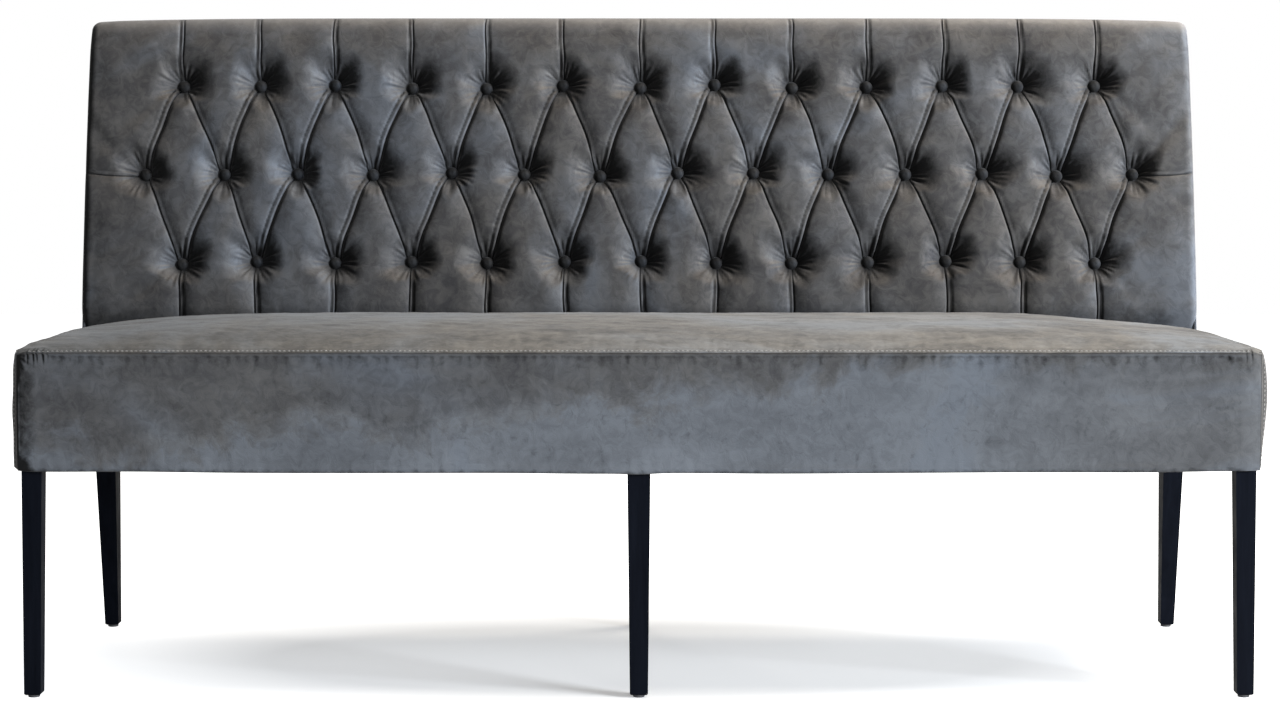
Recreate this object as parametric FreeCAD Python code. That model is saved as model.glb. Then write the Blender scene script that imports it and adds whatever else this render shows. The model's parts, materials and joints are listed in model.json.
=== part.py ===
"""An upholstered banquette bench: a beech frame on six legs, a sprung and padded seat, and a leaning backrest
with three rows of deep buttoned tufts.

All sizes are in millimetres. X runs along the bench, Y from its front to its back and Z up.
The origin is on the floor, under the middle of the whole bench.
Script order: driving sizes, places worked out from them, shape helpers, then one function for each group
of pieces.
"""

import FreeCAD, Part
from collections import namedtuple
import math
import os

V = FreeCAD.Vector

# Whole bench
overall_width = 1800.0
overall_depth = 640.0
overall_height = 1000.0
seat_seam_height = 500.0
seat_body_height = 172.0

# Layers
cover_thickness = 2.5
layer_gap = 0.3
cut_overrun = 2.0

# Seat cover and padding
seat_crown = 26.0
side_bulge = 8.0
front_bulge = 3.0
edge_pad = 6.0
hem_width = 22.0
bulge_run = 90.0
crown_run = 420.0
felt_thickness = 2.0
dust_cover_thickness = 1.0
dust_cover_inset = 14.0
staple_pitch = 62.0
staple_crown = 10.0
staple_wire = 0.8

# Backrest
front_lean = 8.0
back_lean = 6.5
back_top_thickness = 106.0
border_thickness = 5.0
edge_round = 12.0
tuft_height = 36.0
tuft_floor = 6.0
pleat_depth = 13.0
edge_pleat_depth = 7.0
tuft_side_margin = 92.0
top_row_drop = 110.0
bottom_row_rise = 111.0
long_row_buttons = 14
button_diameter = 22.0
button_height = 7.0
button_rim = 2.0
button_clearance = 1.0
pleat_half_width = 1.5
flat_rise = 0.2
back_foam_thickness = 30.0
board_thickness = 6.0
lining_thickness = 2.0
top_pad = 10.0
tuck_clearance = 6.0

# Twine that holds the buttons
twine_diameter = 1.6
cover_hole = 3.0
foam_hole = 9.0
board_hole = 6.0
anchor_diameter = 14.0
anchor_thickness = 2.0
anchor_clearance = 1.0

# Frame
rail_thickness = 24.0
rail_height = 90.0
cross_rail_height = 50.0
lower_rail_height = 55.0
top_rail_height = 55.0
block_leg = 62.0
block_height = 42.0
stud_width = 30.0

# Legs
corner_leg_width = 29.0
middle_leg_width = 33.0
front_leg_depth = 29.0
rear_leg_width = 34.0
front_foot_width = 24.0
middle_foot_width = 26.0
front_foot_depth = 24.0
rear_foot_width = 22.0
rear_foot_depth = 24.0
rear_rake = 76.0
foot_chamfer = 2.0

# Glides under the feet
glide_diameter = 17.0
glide_height = 4.0
glide_edge = 0.8
glide_pin_diameter = 3.0
glide_pin_length = 14.0
pin_clearance = 0.1

# Springs
springs_in_a_bay = 3
spring_wire = 3.8
spring_width = 52.0
spring_step = 23.0
clip_wall = 1.3
clip_clearance = 0.2
clip_length = 14.0
clip_foot = 20.0

# Dowels, bolts and screws
dowel_diameter = 8.0
dowel_length = 36.0
dowel_spacing = 30.0
dowel_clearance = 0.1
bolt_diameter = 8.0
bolt_grip = 14.0
bolt_tail = 9.0
nut_width = 13.0
nut_height = 6.5
washer_diameter = 20.0
washer_thickness = 1.6
bolt_clearance = 0.2
screw_diameter = 4.0
screw_length = 22.0
screw_head_diameter = 8.0
screw_head_height = 2.5

# Angles as sines and so on
lean_sin = math.sin(math.radians(front_lean))
lean_cos = math.cos(math.radians(front_lean))
lean_tan = math.tan(math.radians(front_lean))
back_tan = math.tan(math.radians(back_lean))
taper_tan = math.tan(math.radians(front_lean - back_lean))

# Frame faces
half_width = overall_width / 2
front_y = -overall_depth / 2
back_y = overall_depth / 2
panel_front_y = front_y + front_bulge
panel_side_x = half_width - side_bulge
frame_front_y = panel_front_y + cover_thickness + layer_gap + edge_pad + layer_gap
frame_side_x = panel_side_x - cover_thickness - layer_gap - edge_pad - layer_gap
seat_underside = seat_seam_height - seat_body_height
frame_bottom = seat_underside + cover_thickness + layer_gap
rail_top = frame_bottom + rail_height

# Springs, felt and seat foam, from the rail up
wire_radius = spring_wire / 2
clip_bore = wire_radius + clip_clearance
clip_radius = clip_bore + clip_wall
wire_z = rail_top + clip_radius
clip_top = wire_z + clip_radius
felt_bottom = clip_top + layer_gap
foam_bottom = felt_bottom + felt_thickness + layer_gap
foam_edge_top = seat_seam_height - cover_thickness - layer_gap

# Backrest in its own leaning frame: v runs up its face from the height of the seat seam, and depth runs in
# from the face, which is the plane that the tops of the tufts touch
back_half_width = frame_side_x + layer_gap + border_thickness
back_inner_half_width = back_half_width - border_thickness
top_v = (overall_height - seat_seam_height + edge_round * lean_sin) / lean_cos
face_y = back_y - back_top_thickness * lean_cos - top_v * lean_sin
foam_depth = tuft_height + layer_gap
board_depth = foam_depth + back_foam_thickness + layer_gap
post_depth = board_depth + board_thickness
lower_rail_depth = post_depth + rail_thickness
post_top_v = top_v - border_thickness - layer_gap - top_pad - layer_gap
tuck_z = clip_top + tuck_clearance
bottom_v = (tuck_z - seat_seam_height + lower_rail_depth * lean_sin) / lean_cos
back_skin = cover_thickness + layer_gap + lining_thickness + layer_gap

# Button places
button_radius = button_diameter / 2
pocket = button_radius + button_clearance
floor_depth = tuft_height - tuft_floor
button_pitch = 2 * (back_half_width - tuft_side_margin) / (long_row_buttons - 1)
short_row_buttons = long_row_buttons - 1
row_top = top_v - top_row_drop
row_bottom = bottom_row_rise
row_middle = (row_top + row_bottom) / 2
long_row = [(i - (long_row_buttons - 1) / 2) * button_pitch for i in range(long_row_buttons)]
short_row = [(i - (short_row_buttons - 1) / 2) * button_pitch for i in range(short_row_buttons)]
button_places = [(u, row_top) for u in short_row]
button_places += [(u, row_middle) for u in long_row]
button_places += [(u, row_bottom) for u in short_row]

# How the seat's crown grows from its side seam, as shares of crown_run and of seat_crown
crown_run_shares = [0.0, 0.1, 0.22, 0.42, 0.68, 1.0]
crown_height_shares = [0.0, 0.26, 0.5, 0.76, 0.93, 1.0]
# How far back the top of the crown lies, and how much of it is left at the backrest
crown_peak_share = 0.6
crown_rear_share = 0.92
# How the side panel's bulge grows behind the front corner, as shares of bulge_run and of side_bulge
bulge_run_shares = [0.0, 0.35, 1.0]
bulge_size_shares = [0.15, 0.75, 1.0]
# Where the sections between two rows of buttons lie, and how the ridge of a tuft rises from its point
row_section_shares = [0.25, 0.5, 0.75]
ridge_depth_shares = [0.42, 0.12, 0.03]
edge_dip_shares = [0.0, 0.1, 0.4]
strip_section_shares = [0.3, 0.65]
round_steps = 3
sag_limit_share = 0.45


def face_y_at(z):
    """Y of the backrest's face plane at height z."""
    return face_y + (z - seat_seam_height) * lean_tan


def post_front_y(z):
    """Y of the front face of the back posts at height z."""
    return face_y_at(z) + post_depth / lean_cos


def rear_depth(v):
    """How deep the outside of the backrest's back lies below its face, at v."""
    return back_top_thickness + (top_v - v) * taper_tan


def back_surface_y(z):
    """Y of the outside of the backrest's back at height z."""
    corner_z = seat_seam_height + top_v * lean_cos - back_top_thickness * lean_sin
    return back_y - (corner_z - z) * back_tan


def post_back_y(z):
    """Y of the back face of the back posts at height z."""
    return back_surface_y(z) - back_skin / math.cos(math.radians(back_lean))


def back_point(u, v, depth):
    """The point that lies at u along the bench, v up the backrest and depth in from its face."""
    return V(u, face_y + v * lean_sin + depth * lean_cos, seat_seam_height + v * lean_cos - depth * lean_sin)


back_normal = V(0, -lean_cos, lean_sin)


def box(x0, x1, y0, y1, z0, z1):
    """An upright block between two corners."""
    return Part.makeBox(x1 - x0, y1 - y0, z1 - z0, V(x0, y0, z0))


def back_box(u0, u1, v0, v1, depth0, depth1):
    """A block that leans with the backrest's face."""
    corners = [back_point(u0, v0, depth0), back_point(u0, v1, depth0), back_point(u0, v1, depth1),
               back_point(u0, v0, depth1)]
    return Part.Face(Part.makePolygon(corners + corners[:1])).extrude(V(u1 - u0, 0, 0))


def side_plate(x0, x1, outline):
    """A plate between x0 and x1 whose outline is a list of (y, z)."""
    points = [V(x0, y, z) for y, z in outline]
    return Part.Face(Part.makePolygon(points + points[:1])).extrude(V(x1 - x0, 0, 0))


def front_plate(y0, y1, outline):
    """A plate between y0 and y1 whose outline is a list of (x, z)."""
    points = [V(x, y0, z) for x, z in outline]
    return Part.Face(Part.makePolygon(points + points[:1])).extrude(V(0, y1 - y0, 0))


def floor_plate(z0, z1, outline):
    """A plate between z0 and z1 whose outline is a list of (x, y)."""
    points = [V(x, y, z0) for x, y in outline]
    return Part.Face(Part.makePolygon(points + points[:1])).extrude(V(0, 0, z1 - z0))


def rod(start, direction, length, diameter):
    """A round bar that starts at a point."""
    return Part.makeCylinder(diameter / 2, length, start, direction)


def line(a, b):
    return Part.makeLine(a, b)


def arc(a, middle, b):
    return Part.Arc(a, middle, b).toShape()


def loft(wires):
    """A solid through closed wires, straight from each wire to the next."""
    return Part.makeLoft(wires, True, True)


def near(shape, tools):
    """The tools whose boxes meet the shape's box."""
    bounds = shape.BoundBox
    return [tool for tool in tools if bounds.intersect(tool.BoundBox)]


def cut(shape, tools):
    """The shape without the tools that reach it."""
    reached = near(shape, tools)
    return shape.cut(Part.makeCompound(reached)) if reached else shape


def joined(shapes):
    """One solid from solids that share faces."""
    return shapes[0].multiFuse(shapes[1:]).removeSplitter()


def mirrored(shape):
    """The same shape on the other side of the bench."""
    return shape.mirror(V(0, 0, 0), V(1, 0, 0))


def save(name, shapes):
    """Writes one or more solids as one sub-part."""
    solids = [solid for shape in shapes for solid in shape.Solids]
    whole = solids[0] if len(solids) == 1 else Part.makeCompound(solids)
    whole.exportStep(os.path.join("parts", name + ".step"))


# Places along the bench
corner_inner_x = frame_side_x - corner_leg_width
rear_inner_x = frame_side_x - rear_leg_width
side_rail_x = frame_side_x - rail_thickness
middle_half = middle_leg_width / 2
rear_middle_half = rear_leg_width / 2
front_leg_back_y = frame_front_y + front_leg_depth
front_rail_back_y = frame_front_y + rail_thickness
back_rail_middle_y = (post_front_y(rail_top) + post_back_y(frame_bottom)) / 2
back_rail_front_y = back_rail_middle_y - rail_thickness / 2
back_rail_back_y = back_rail_middle_y + rail_thickness / 2
bay_rail_x = (corner_inner_x + middle_half) / 2
stud_x = (short_row_buttons // 4 + 1 / 4) * button_pitch
rail_middle_z = (frame_bottom + rail_top) / 2
rear_foot_front_y = post_front_y(seat_underside) + rear_rake
rear_foot_back_y = rear_foot_front_y + rear_foot_depth


def dowel_pair(middle, axis, apart):
    """The middles and axis of two dowels side by side across a joint."""
    offset = V(*apart) * (dowel_spacing / 2)
    return [(middle + offset, V(*axis)), (middle - offset, V(*axis))]


def dowel_places():
    """Every dowel's middle and axis. Each joint of the frame has two."""
    along, across, up = (1, 0, 0), (0, 1, 0), (0, 0, 1)
    slope = (0, lean_sin, lean_cos)
    front_rail_y = (frame_front_y + front_rail_back_y) / 2
    side_rail_middle_x = (side_rail_x + frame_side_x) / 2
    cross_z = frame_bottom + cross_rail_height / 2
    rail_depth = post_depth + rail_thickness / 2
    lower_v = bottom_v + lower_rail_height / 2
    upper_v = post_top_v - top_rail_height / 2
    found = []
    for side in (-1, 1):
        for x in (middle_half, corner_inner_x):
            found += dowel_pair(V(side * x, front_rail_y, rail_middle_z), along, up)
        for x in (rear_middle_half, rear_inner_x):
            found += dowel_pair(V(side * x, back_rail_middle_y, rail_middle_z), along, up)
            found += dowel_pair(back_point(side * x, lower_v, rail_depth), along, slope)
        found += dowel_pair(back_point(side * rear_inner_x, upper_v, rail_depth), along, slope)
        found += dowel_pair(V(side * side_rail_middle_x, front_leg_back_y, rail_middle_z), across, up)
        rear_y = post_front_y(rail_middle_z)
        found += dowel_pair(V(side * side_rail_middle_x, rear_y, rail_middle_z), across, up)
        for y in (front_rail_back_y, back_rail_front_y):
            found.append((V(side * bay_rail_x, y, cross_z), V(*across)))
        for v in (bottom_v + lower_rail_height, post_top_v - top_rail_height):
            found.append((back_point(side * stud_x, v, rail_depth), V(*slope)))
    found.append((V(0, front_leg_back_y, cross_z), V(*across)))
    found.append((V(0, post_front_y(cross_z), cross_z), V(*across)))
    found.append((back_point(0, post_top_v - top_rail_height, rail_depth), V(*slope)))
    return found


def dowels(extra_length, extra_diameter):
    """The dowels, or the holes for them where they are given some extra size."""
    length = dowel_length + extra_length
    return [rod(middle - axis * (length / 2), axis, length, dowel_diameter + extra_diameter)
            for middle, axis in dowel_places()]


def post_screw_places():
    """Points on the front of the tufting board where screws hold it to the posts and studs."""
    lower = row_bottom + (row_middle - row_bottom) / 2
    upper = row_middle + (row_top - row_middle) / 2
    base = bottom_v + lower_rail_height / 2
    heights = [base, lower, upper]
    columns = [-(rear_inner_x + frame_side_x) / 2, -stud_x, 0, stud_x, (rear_inner_x + frame_side_x) / 2]
    return [back_point(u, v, board_depth) for u in columns for v in heights]


def board_screws(extra):
    """The screws through the tufting board, or the holes for them where they are given some extra size."""
    found = []
    for place in post_screw_places():
        shank = rod(place, -back_normal, screw_length + extra, screw_diameter + extra)
        head = rod(place, -back_normal, screw_head_height, screw_head_diameter + extra)
        found.append(shank.fuse(head))
    return found


def button_rods(depth0, depth1, diameter):
    """A round bar at every button, from one depth to another."""
    return [rod(back_point(u, v, depth0), -back_normal, depth1 - depth0, diameter) for u, v in button_places]


def corner_block(front):
    """The right-hand block in a front or rear corner, with its bolt, washer, nut and bolt hole."""
    if front:
        leg_x, leg_y, rail_y, toward = corner_inner_x, front_leg_back_y, front_rail_back_y, 1
    else:
        leg_x, leg_y, rail_y, toward = rear_inner_x, post_front_y(frame_bottom), back_rail_front_y, -1
    outline = [(side_rail_x, leg_y), (side_rail_x, leg_y + toward * block_leg), (leg_x - block_leg, rail_y),
               (leg_x, rail_y), (leg_x, leg_y)]
    block = floor_plate(frame_bottom, frame_bottom + block_height, outline)
    run = V(side_rail_x - (leg_x - block_leg), leg_y + toward * block_leg - rail_y, 0)
    outward = V(-run.y, run.x, 0).normalize() * toward
    start = V((side_rail_x + leg_x - block_leg) / 2, (leg_y + toward * block_leg + rail_y) / 2,
              frame_bottom + block_height / 2)
    reach = (V(leg_x, leg_y, start.z) - start).dot(-outward) + bolt_grip
    bolt = rod(start + outward * bolt_tail, -outward, reach + bolt_tail, bolt_diameter)
    hole = rod(start + outward * bolt_tail, -outward, reach + bolt_tail, bolt_diameter + bolt_clearance)
    washer = rod(start, outward, washer_thickness, washer_diameter).cut(hole)
    hexagon = []
    up = V(0, 0, 1)
    sideways = outward.cross(up)
    for i in range(6):
        angle = math.radians(60 * i)
        spoke = (sideways * math.cos(angle) + up * math.sin(angle)) * (nut_width / math.sqrt(3))
        hexagon.append(start + outward * washer_thickness + spoke)
    nut = Part.Face(Part.makePolygon(hexagon + hexagon[:1])).extrude(outward * nut_height).cut(hole)
    return block.cut(hole), bolt, washer, nut, hole


def tapered_leg(side_outline, front_outline):
    """A leg whose side view and front view are both given, with its foot chamfered."""
    xs = [x for x, z in front_outline]
    ys = [y for y, z in side_outline]
    leg = side_plate(min(xs), max(xs), side_outline).common(front_plate(min(ys), max(ys), front_outline))
    lowest = leg.BoundBox.ZMin
    foot_edges = [edge for edge in leg.Edges if edge.BoundBox.ZMax < lowest + foot_chamfer / 2]
    return leg.makeChamfer(foot_chamfer, foot_edges)


def front_leg(outer_x, inner_x, foot_outer_x, foot_inner_x):
    """A front leg, upright on its outer faces."""
    side = [(frame_front_y, glide_height), (frame_front_y + front_foot_depth, glide_height),
            (front_leg_back_y, frame_bottom), (front_leg_back_y, rail_top), (frame_front_y, rail_top)]
    front = [(foot_outer_x, glide_height), (outer_x, frame_bottom), (outer_x, rail_top), (inner_x, rail_top),
             (inner_x, frame_bottom), (foot_inner_x, glide_height)]
    return tapered_leg(side, front)


def rear_leg(outer_x, inner_x, foot_outer_x, foot_inner_x, top_v_here):
    """A rear leg, raked back below the seat and leaning with the backrest above it."""
    top_front = back_point(0, top_v_here, post_depth)
    top_depth = rear_depth(top_v_here) - back_skin
    top_back = back_point(0, top_v_here, top_depth)
    side = [(rear_foot_front_y, glide_height), (rear_foot_back_y, glide_height),
            (post_back_y(frame_bottom), frame_bottom), (top_back.y, top_back.z), (top_front.y, top_front.z),
            (post_front_y(frame_bottom), frame_bottom)]
    front = [(foot_outer_x, glide_height), (outer_x, frame_bottom), (outer_x, top_front.z),
             (inner_x, top_front.z), (inner_x, frame_bottom), (foot_inner_x, glide_height)]
    return tapered_leg(side, front)


def foot_middles():
    """Where each foot's middle meets its glide: left, middle and right, front then rear."""
    front_x = frame_side_x - front_foot_width / 2
    rear_x = frame_side_x - rear_foot_width / 2
    front_foot_y = frame_front_y + front_foot_depth / 2
    rear_foot_y = (rear_foot_front_y + rear_foot_back_y) / 2
    return [V(-front_x, front_foot_y, 0), V(0, front_foot_y, 0), V(front_x, front_foot_y, 0),
            V(-rear_x, rear_foot_y, 0), V(0, rear_foot_y, 0), V(rear_x, rear_foot_y, 0)]


def glide(place, extra):
    """A plastic glide with its pin, or the hole for the pin where it is given some extra size."""
    pin = rod(place + V(0, 0, glide_height), V(0, 0, 1), glide_pin_length + extra, glide_pin_diameter + extra)
    if extra:
        return pin
    disc = rod(place, V(0, 0, 1), glide_height, glide_diameter)
    rim = [edge for edge in disc.Edges if edge.BoundBox.ZMax < glide_edge]
    return disc.makeChamfer(glide_edge, rim).fuse(pin)


def make_legs(holes):
    """The six legs. The rear ones carry the backrest as its posts."""
    frame_foot_x = frame_side_x - front_foot_width
    rear_foot_x = frame_side_x - rear_foot_width
    corner = front_leg(frame_side_x, corner_inner_x, frame_side_x, frame_foot_x)
    middle = front_leg(middle_half, -middle_half, middle_foot_width / 2, -middle_foot_width / 2)
    rear = rear_leg(frame_side_x, rear_inner_x, frame_side_x, rear_foot_x, post_top_v)
    rear_middle = rear_leg(rear_middle_half, -rear_middle_half, rear_foot_width / 2, -rear_foot_width / 2,
                           post_top_v - top_rail_height)
    save("front_leg_left", [cut(mirrored(corner), holes)])
    save("front_leg_middle", [cut(middle, holes)])
    save("front_leg_right", [cut(corner, holes)])
    save("rear_leg_left", [cut(mirrored(rear), holes)])
    save("rear_leg_middle", [cut(rear_middle, holes)])
    save("rear_leg_right", [cut(rear, holes)])
    save("glides", [glide(place, 0) for place in foot_middles()])


def make_seat_frame(holes):
    """Rails between the legs, and the cross rails that keep them apart."""
    cross_top = frame_bottom + cross_rail_height
    front_rail = box(middle_half, corner_inner_x, frame_front_y, front_rail_back_y, frame_bottom, rail_top)
    back_rail = box(rear_middle_half, rear_inner_x, back_rail_front_y, back_rail_back_y, frame_bottom,
                    rail_top)
    side_rail = side_plate(side_rail_x, frame_side_x,
                           [(front_leg_back_y, frame_bottom), (post_front_y(frame_bottom), frame_bottom),
                            (post_front_y(rail_top), rail_top), (front_leg_back_y, rail_top)])
    bay_rail = box(bay_rail_x - rail_thickness / 2, bay_rail_x + rail_thickness / 2, front_rail_back_y,
                   back_rail_front_y, frame_bottom, cross_top)
    middle_rail = side_plate(-rail_thickness / 2, rail_thickness / 2,
                             [(front_leg_back_y, frame_bottom), (post_front_y(frame_bottom), frame_bottom),
                              (post_front_y(cross_top), cross_top), (front_leg_back_y, cross_top)])
    pairs = {"seat_front_rail": front_rail, "seat_back_rail": back_rail, "seat_side_rail": side_rail,
             "seat_cross_rail": bay_rail}
    for name, shape in pairs.items():
        save(name + "_right", [cut(shape, holes)])
        save(name + "_left", [cut(mirrored(shape), holes)])
    save("seat_cross_rail_middle", [cut(middle_rail, holes)])


def make_corner_blocks():
    """Four corner blocks with their bolts, and the holes that the bolts need in the legs."""
    blocks, bolts, holes = [], [], []
    for front in (True, False):
        block, bolt, washer, nut, hole = corner_block(front)
        blocks += [block, mirrored(block)]
        bolts += [bolt, mirrored(bolt), washer, mirrored(washer), nut, mirrored(nut)]
        holes += [hole, mirrored(hole)]
    save("corner_blocks", blocks)
    save("corner_bolts", bolts)
    return holes


def make_back_frame(holes):
    """Rails and studs between the back posts, in the plane just behind the tufting board."""
    rail_back = post_depth + rail_thickness
    rail_back_at_top = rear_depth(post_top_v) - back_skin
    top_rail = back_box(-rear_inner_x, rear_inner_x, post_top_v - top_rail_height, post_top_v, post_depth,
                        min(rail_back, rail_back_at_top))
    lower_rail = back_box(rear_middle_half, rear_inner_x, bottom_v, bottom_v + lower_rail_height, post_depth,
                          rail_back)
    stud_back = min(rail_back, rail_back_at_top)
    stud = back_box(stud_x - stud_width / 2, stud_x + stud_width / 2, bottom_v + lower_rail_height,
                    post_top_v - top_rail_height, post_depth, stud_back)
    save("back_top_rail", [cut(top_rail, holes)])
    save("back_lower_rail_right", [cut(lower_rail, holes)])
    save("back_lower_rail_left", [cut(mirrored(lower_rail), holes)])
    save("back_stud_right", [cut(stud, holes)])
    save("back_stud_left", [cut(mirrored(stud), holes)])


def spring_columns():
    """X of each spring: as many in each bay between the cross rails."""
    edges = [-side_rail_x, -bay_rail_x, 0, bay_rail_x, side_rail_x]
    found = []
    for low, high in zip(edges, edges[1:]):
        step = (high - low) / springs_in_a_bay
        found += [low + step * (i + 1 / 2) for i in range(springs_in_a_bay)]
    return found


def spring(front, back):
    """One sinuous spring in plan, from the front rail to the back rail, centred on x of zero."""
    turns = max(2, round((back - front) / spring_step))
    step = (back - front) / turns
    bend = step / 2
    reach = spring_width / 2 - bend
    edges = []
    for i in range(turns + 1):
        y = front + i * step
        side = 1 if i % 2 == 0 else -1
        edges.append(line(V(-side * reach, y, wire_z), V(side * reach, y, wire_z)))
        if i < turns:
            middle = V(side * (reach + bend), y + bend, wire_z)
            edges.append(arc(V(side * reach, y, wire_z), middle, V(side * reach, y + step, wire_z)))
    path = Part.Wire(edges)
    ring = Part.Wire(Part.makeCircle(wire_radius, V(-reach, front, wire_z), V(1, 0, 0)))
    return path.makePipeShell([ring], True, False)


def clip(y):
    """A steel clip that holds one end of a spring on a rail, centred on x of zero."""
    start = V(-clip_length / 2, y, wire_z)
    sleeve = rod(start, V(1, 0, 0), clip_length, 2 * clip_radius)
    foot = box(-clip_length / 2, clip_length / 2, y - clip_foot / 2, y + clip_foot / 2, rail_top,
               rail_top + clip_wall)
    bore = rod(start - V(cut_overrun, 0, 0), V(1, 0, 0), clip_length + 2 * cut_overrun, 2 * clip_bore)
    return sleeve.fuse(foot).cut(bore)


def make_springs():
    """Sinuous springs across the seat, with a clip at each end, and the felt that lies over them."""
    front = (frame_front_y + front_rail_back_y) / 2
    back = back_rail_middle_y
    one, front_clip, back_clip = spring(front, back), clip(front), clip(back)
    columns = spring_columns()
    save("seat_springs", [one.translated(V(x, 0, 0)) for x in columns])
    save("spring_clips", [c.translated(V(x, 0, 0)) for x in columns for c in (front_clip, back_clip)])
    felt_back = face_y_at(felt_bottom) - layer_gap / lean_cos
    felt = box(-frame_side_x, frame_side_x, frame_front_y, felt_back, felt_bottom,
               felt_bottom + felt_thickness)
    save("spring_felt", [felt])


def crown_at(x, edge_x):
    """The seat's crown at x, from nothing at the side seam to its full height."""
    inward = (edge_x - abs(x)) / crown_run
    for i in range(1, len(crown_run_shares)):
        low, high = crown_run_shares[i - 1], crown_run_shares[i]
        if inward <= high:
            part = (inward - low) / (high - low)
            rise = crown_height_shares[i] - crown_height_shares[i - 1]
            return seat_crown * (crown_height_shares[i - 1] + rise * part)
    return seat_crown


def seat_section(x, edge_x, y0, edge_top, bottom, drop):
    """The closed outline of the seat at x: crowned on top, cut to the backrest's slope behind.

    drop is how far below the seat's own surface this outline's top lies."""
    crown = crown_at(x, edge_x)
    back_top_z = edge_top + crown * crown_rear_share
    back_top_y = face_y_at(back_top_z) - layer_gap / lean_cos
    peak_y = y0 + (back_top_y - y0) * crown_peak_share
    corner = V(x, y0, edge_top)
    rear = V(x, back_top_y, back_top_z)
    top = arc(corner, V(x, peak_y, edge_top + crown), rear) if crown > drop else line(corner, rear)
    if bottom is None:
        lower_corner, lower_rear = corner - V(0, 0, drop), rear - V(0, drop * lean_tan, drop)
        peak = V(x, peak_y, edge_top + crown - drop)
        under = arc(lower_rear, peak, lower_corner) if crown > drop else line(lower_rear, lower_corner)
    else:
        lower_corner = V(x, y0, bottom)
        lower_rear = V(x, face_y_at(bottom) - layer_gap / lean_cos, bottom)
        under = line(lower_rear, lower_corner)
    return Part.Wire([top, line(rear, lower_rear), under, line(lower_corner, corner)])


def seat_stations(edge_x):
    """X of each section through the seat, from its left edge to its right edge."""
    right = [edge_x - share * crown_run for share in crown_run_shares]
    right = [x for x in right if x > crown_run * crown_run_shares[1]]
    return [-x for x in right] + [x for x in reversed(right)]


def bulged_outline(low, middle, high, inner_low, inner_high):
    """A closed outline with one bulged side, from two corners to two more behind them."""
    return Part.Wire([arc(low, middle, high), line(high, inner_high), line(inner_high, inner_low),
                      line(inner_low, low)])


def front_layer(x0, x1, outer_y, thickness, bottom, top, backed):
    """A layer of the seat's front, bulged outwards. It is flat behind where it is backed by the frame."""
    low, high = V(x0, outer_y, bottom), V(x0, outer_y, top)
    middle = V(x0, outer_y - front_bulge, (bottom + top) / 2)
    inward = V(0, thickness, 0)
    if backed:
        outline = bulged_outline(low, middle, high, low + inward, high + inward)
    else:
        outline = Part.Wire([arc(low, middle, high), line(high, high + inward),
                             arc(high + inward, middle + inward, low + inward), line(low + inward, low)])
    return Part.Face(outline).extrude(V(x1 - x0, 0, 0))


def side_layer(outer_x, thickness, front, bottom, top, backed):
    """A layer of the seat's right side, bulged outwards more and more behind the front corner."""
    end_y = face_y_at(top) + cut_overrun
    stations = [front + share * bulge_run for share in bulge_run_shares] + [end_y]
    sizes = [share * side_bulge for share in bulge_size_shares] + [side_bulge]
    wires = []
    for y, bulge in zip(stations, sizes):
        low, high = V(outer_x, y, bottom), V(outer_x, y, top)
        middle = V(outer_x + bulge, y, (bottom + top) / 2)
        inward = V(-thickness, 0, 0)
        if backed:
            wires.append(bulged_outline(low, middle, high, low + inward, high + inward))
        else:
            wires.append(Part.Wire([arc(low, middle, high), line(high, high + inward),
                                    arc(high + inward, middle + inward, low + inward),
                                    line(low + inward, low)]))
    behind = side_plate(outer_x - 2 * thickness - cut_overrun, half_width + cut_overrun,
                        [(face_y_at(bottom - cut_overrun) - layer_gap / lean_cos, bottom - cut_overrun),
                         (face_y_at(top + cut_overrun) - layer_gap / lean_cos, top + cut_overrun),
                         (back_y, top + cut_overrun), (back_y, bottom - cut_overrun)])
    return loft(wires).cut(behind)


def leg_clearances():
    """Upright blocks a little larger than the legs, for the hems and the dust cover to go round."""
    g = layer_gap
    low, high = seat_underside - hem_width, frame_bottom
    found = []
    for inner, outer in ((corner_inner_x, frame_side_x), (-middle_half, middle_half)):
        found.append(box(inner - g, outer + g, frame_front_y - g, front_leg_back_y + g, low, high))
    for inner, outer in ((rear_inner_x, frame_side_x), (-rear_middle_half, rear_middle_half)):
        outline = [(post_front_y(frame_bottom) - g, high), (post_back_y(frame_bottom) + g, high),
                   (post_back_y(frame_bottom) + rear_rake + g, low), (post_front_y(frame_bottom) - g, low)]
        found.append(side_plate(inner - g, outer + g, outline))
    return found + [mirrored(found[0]), mirrored(found[2])]


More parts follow.
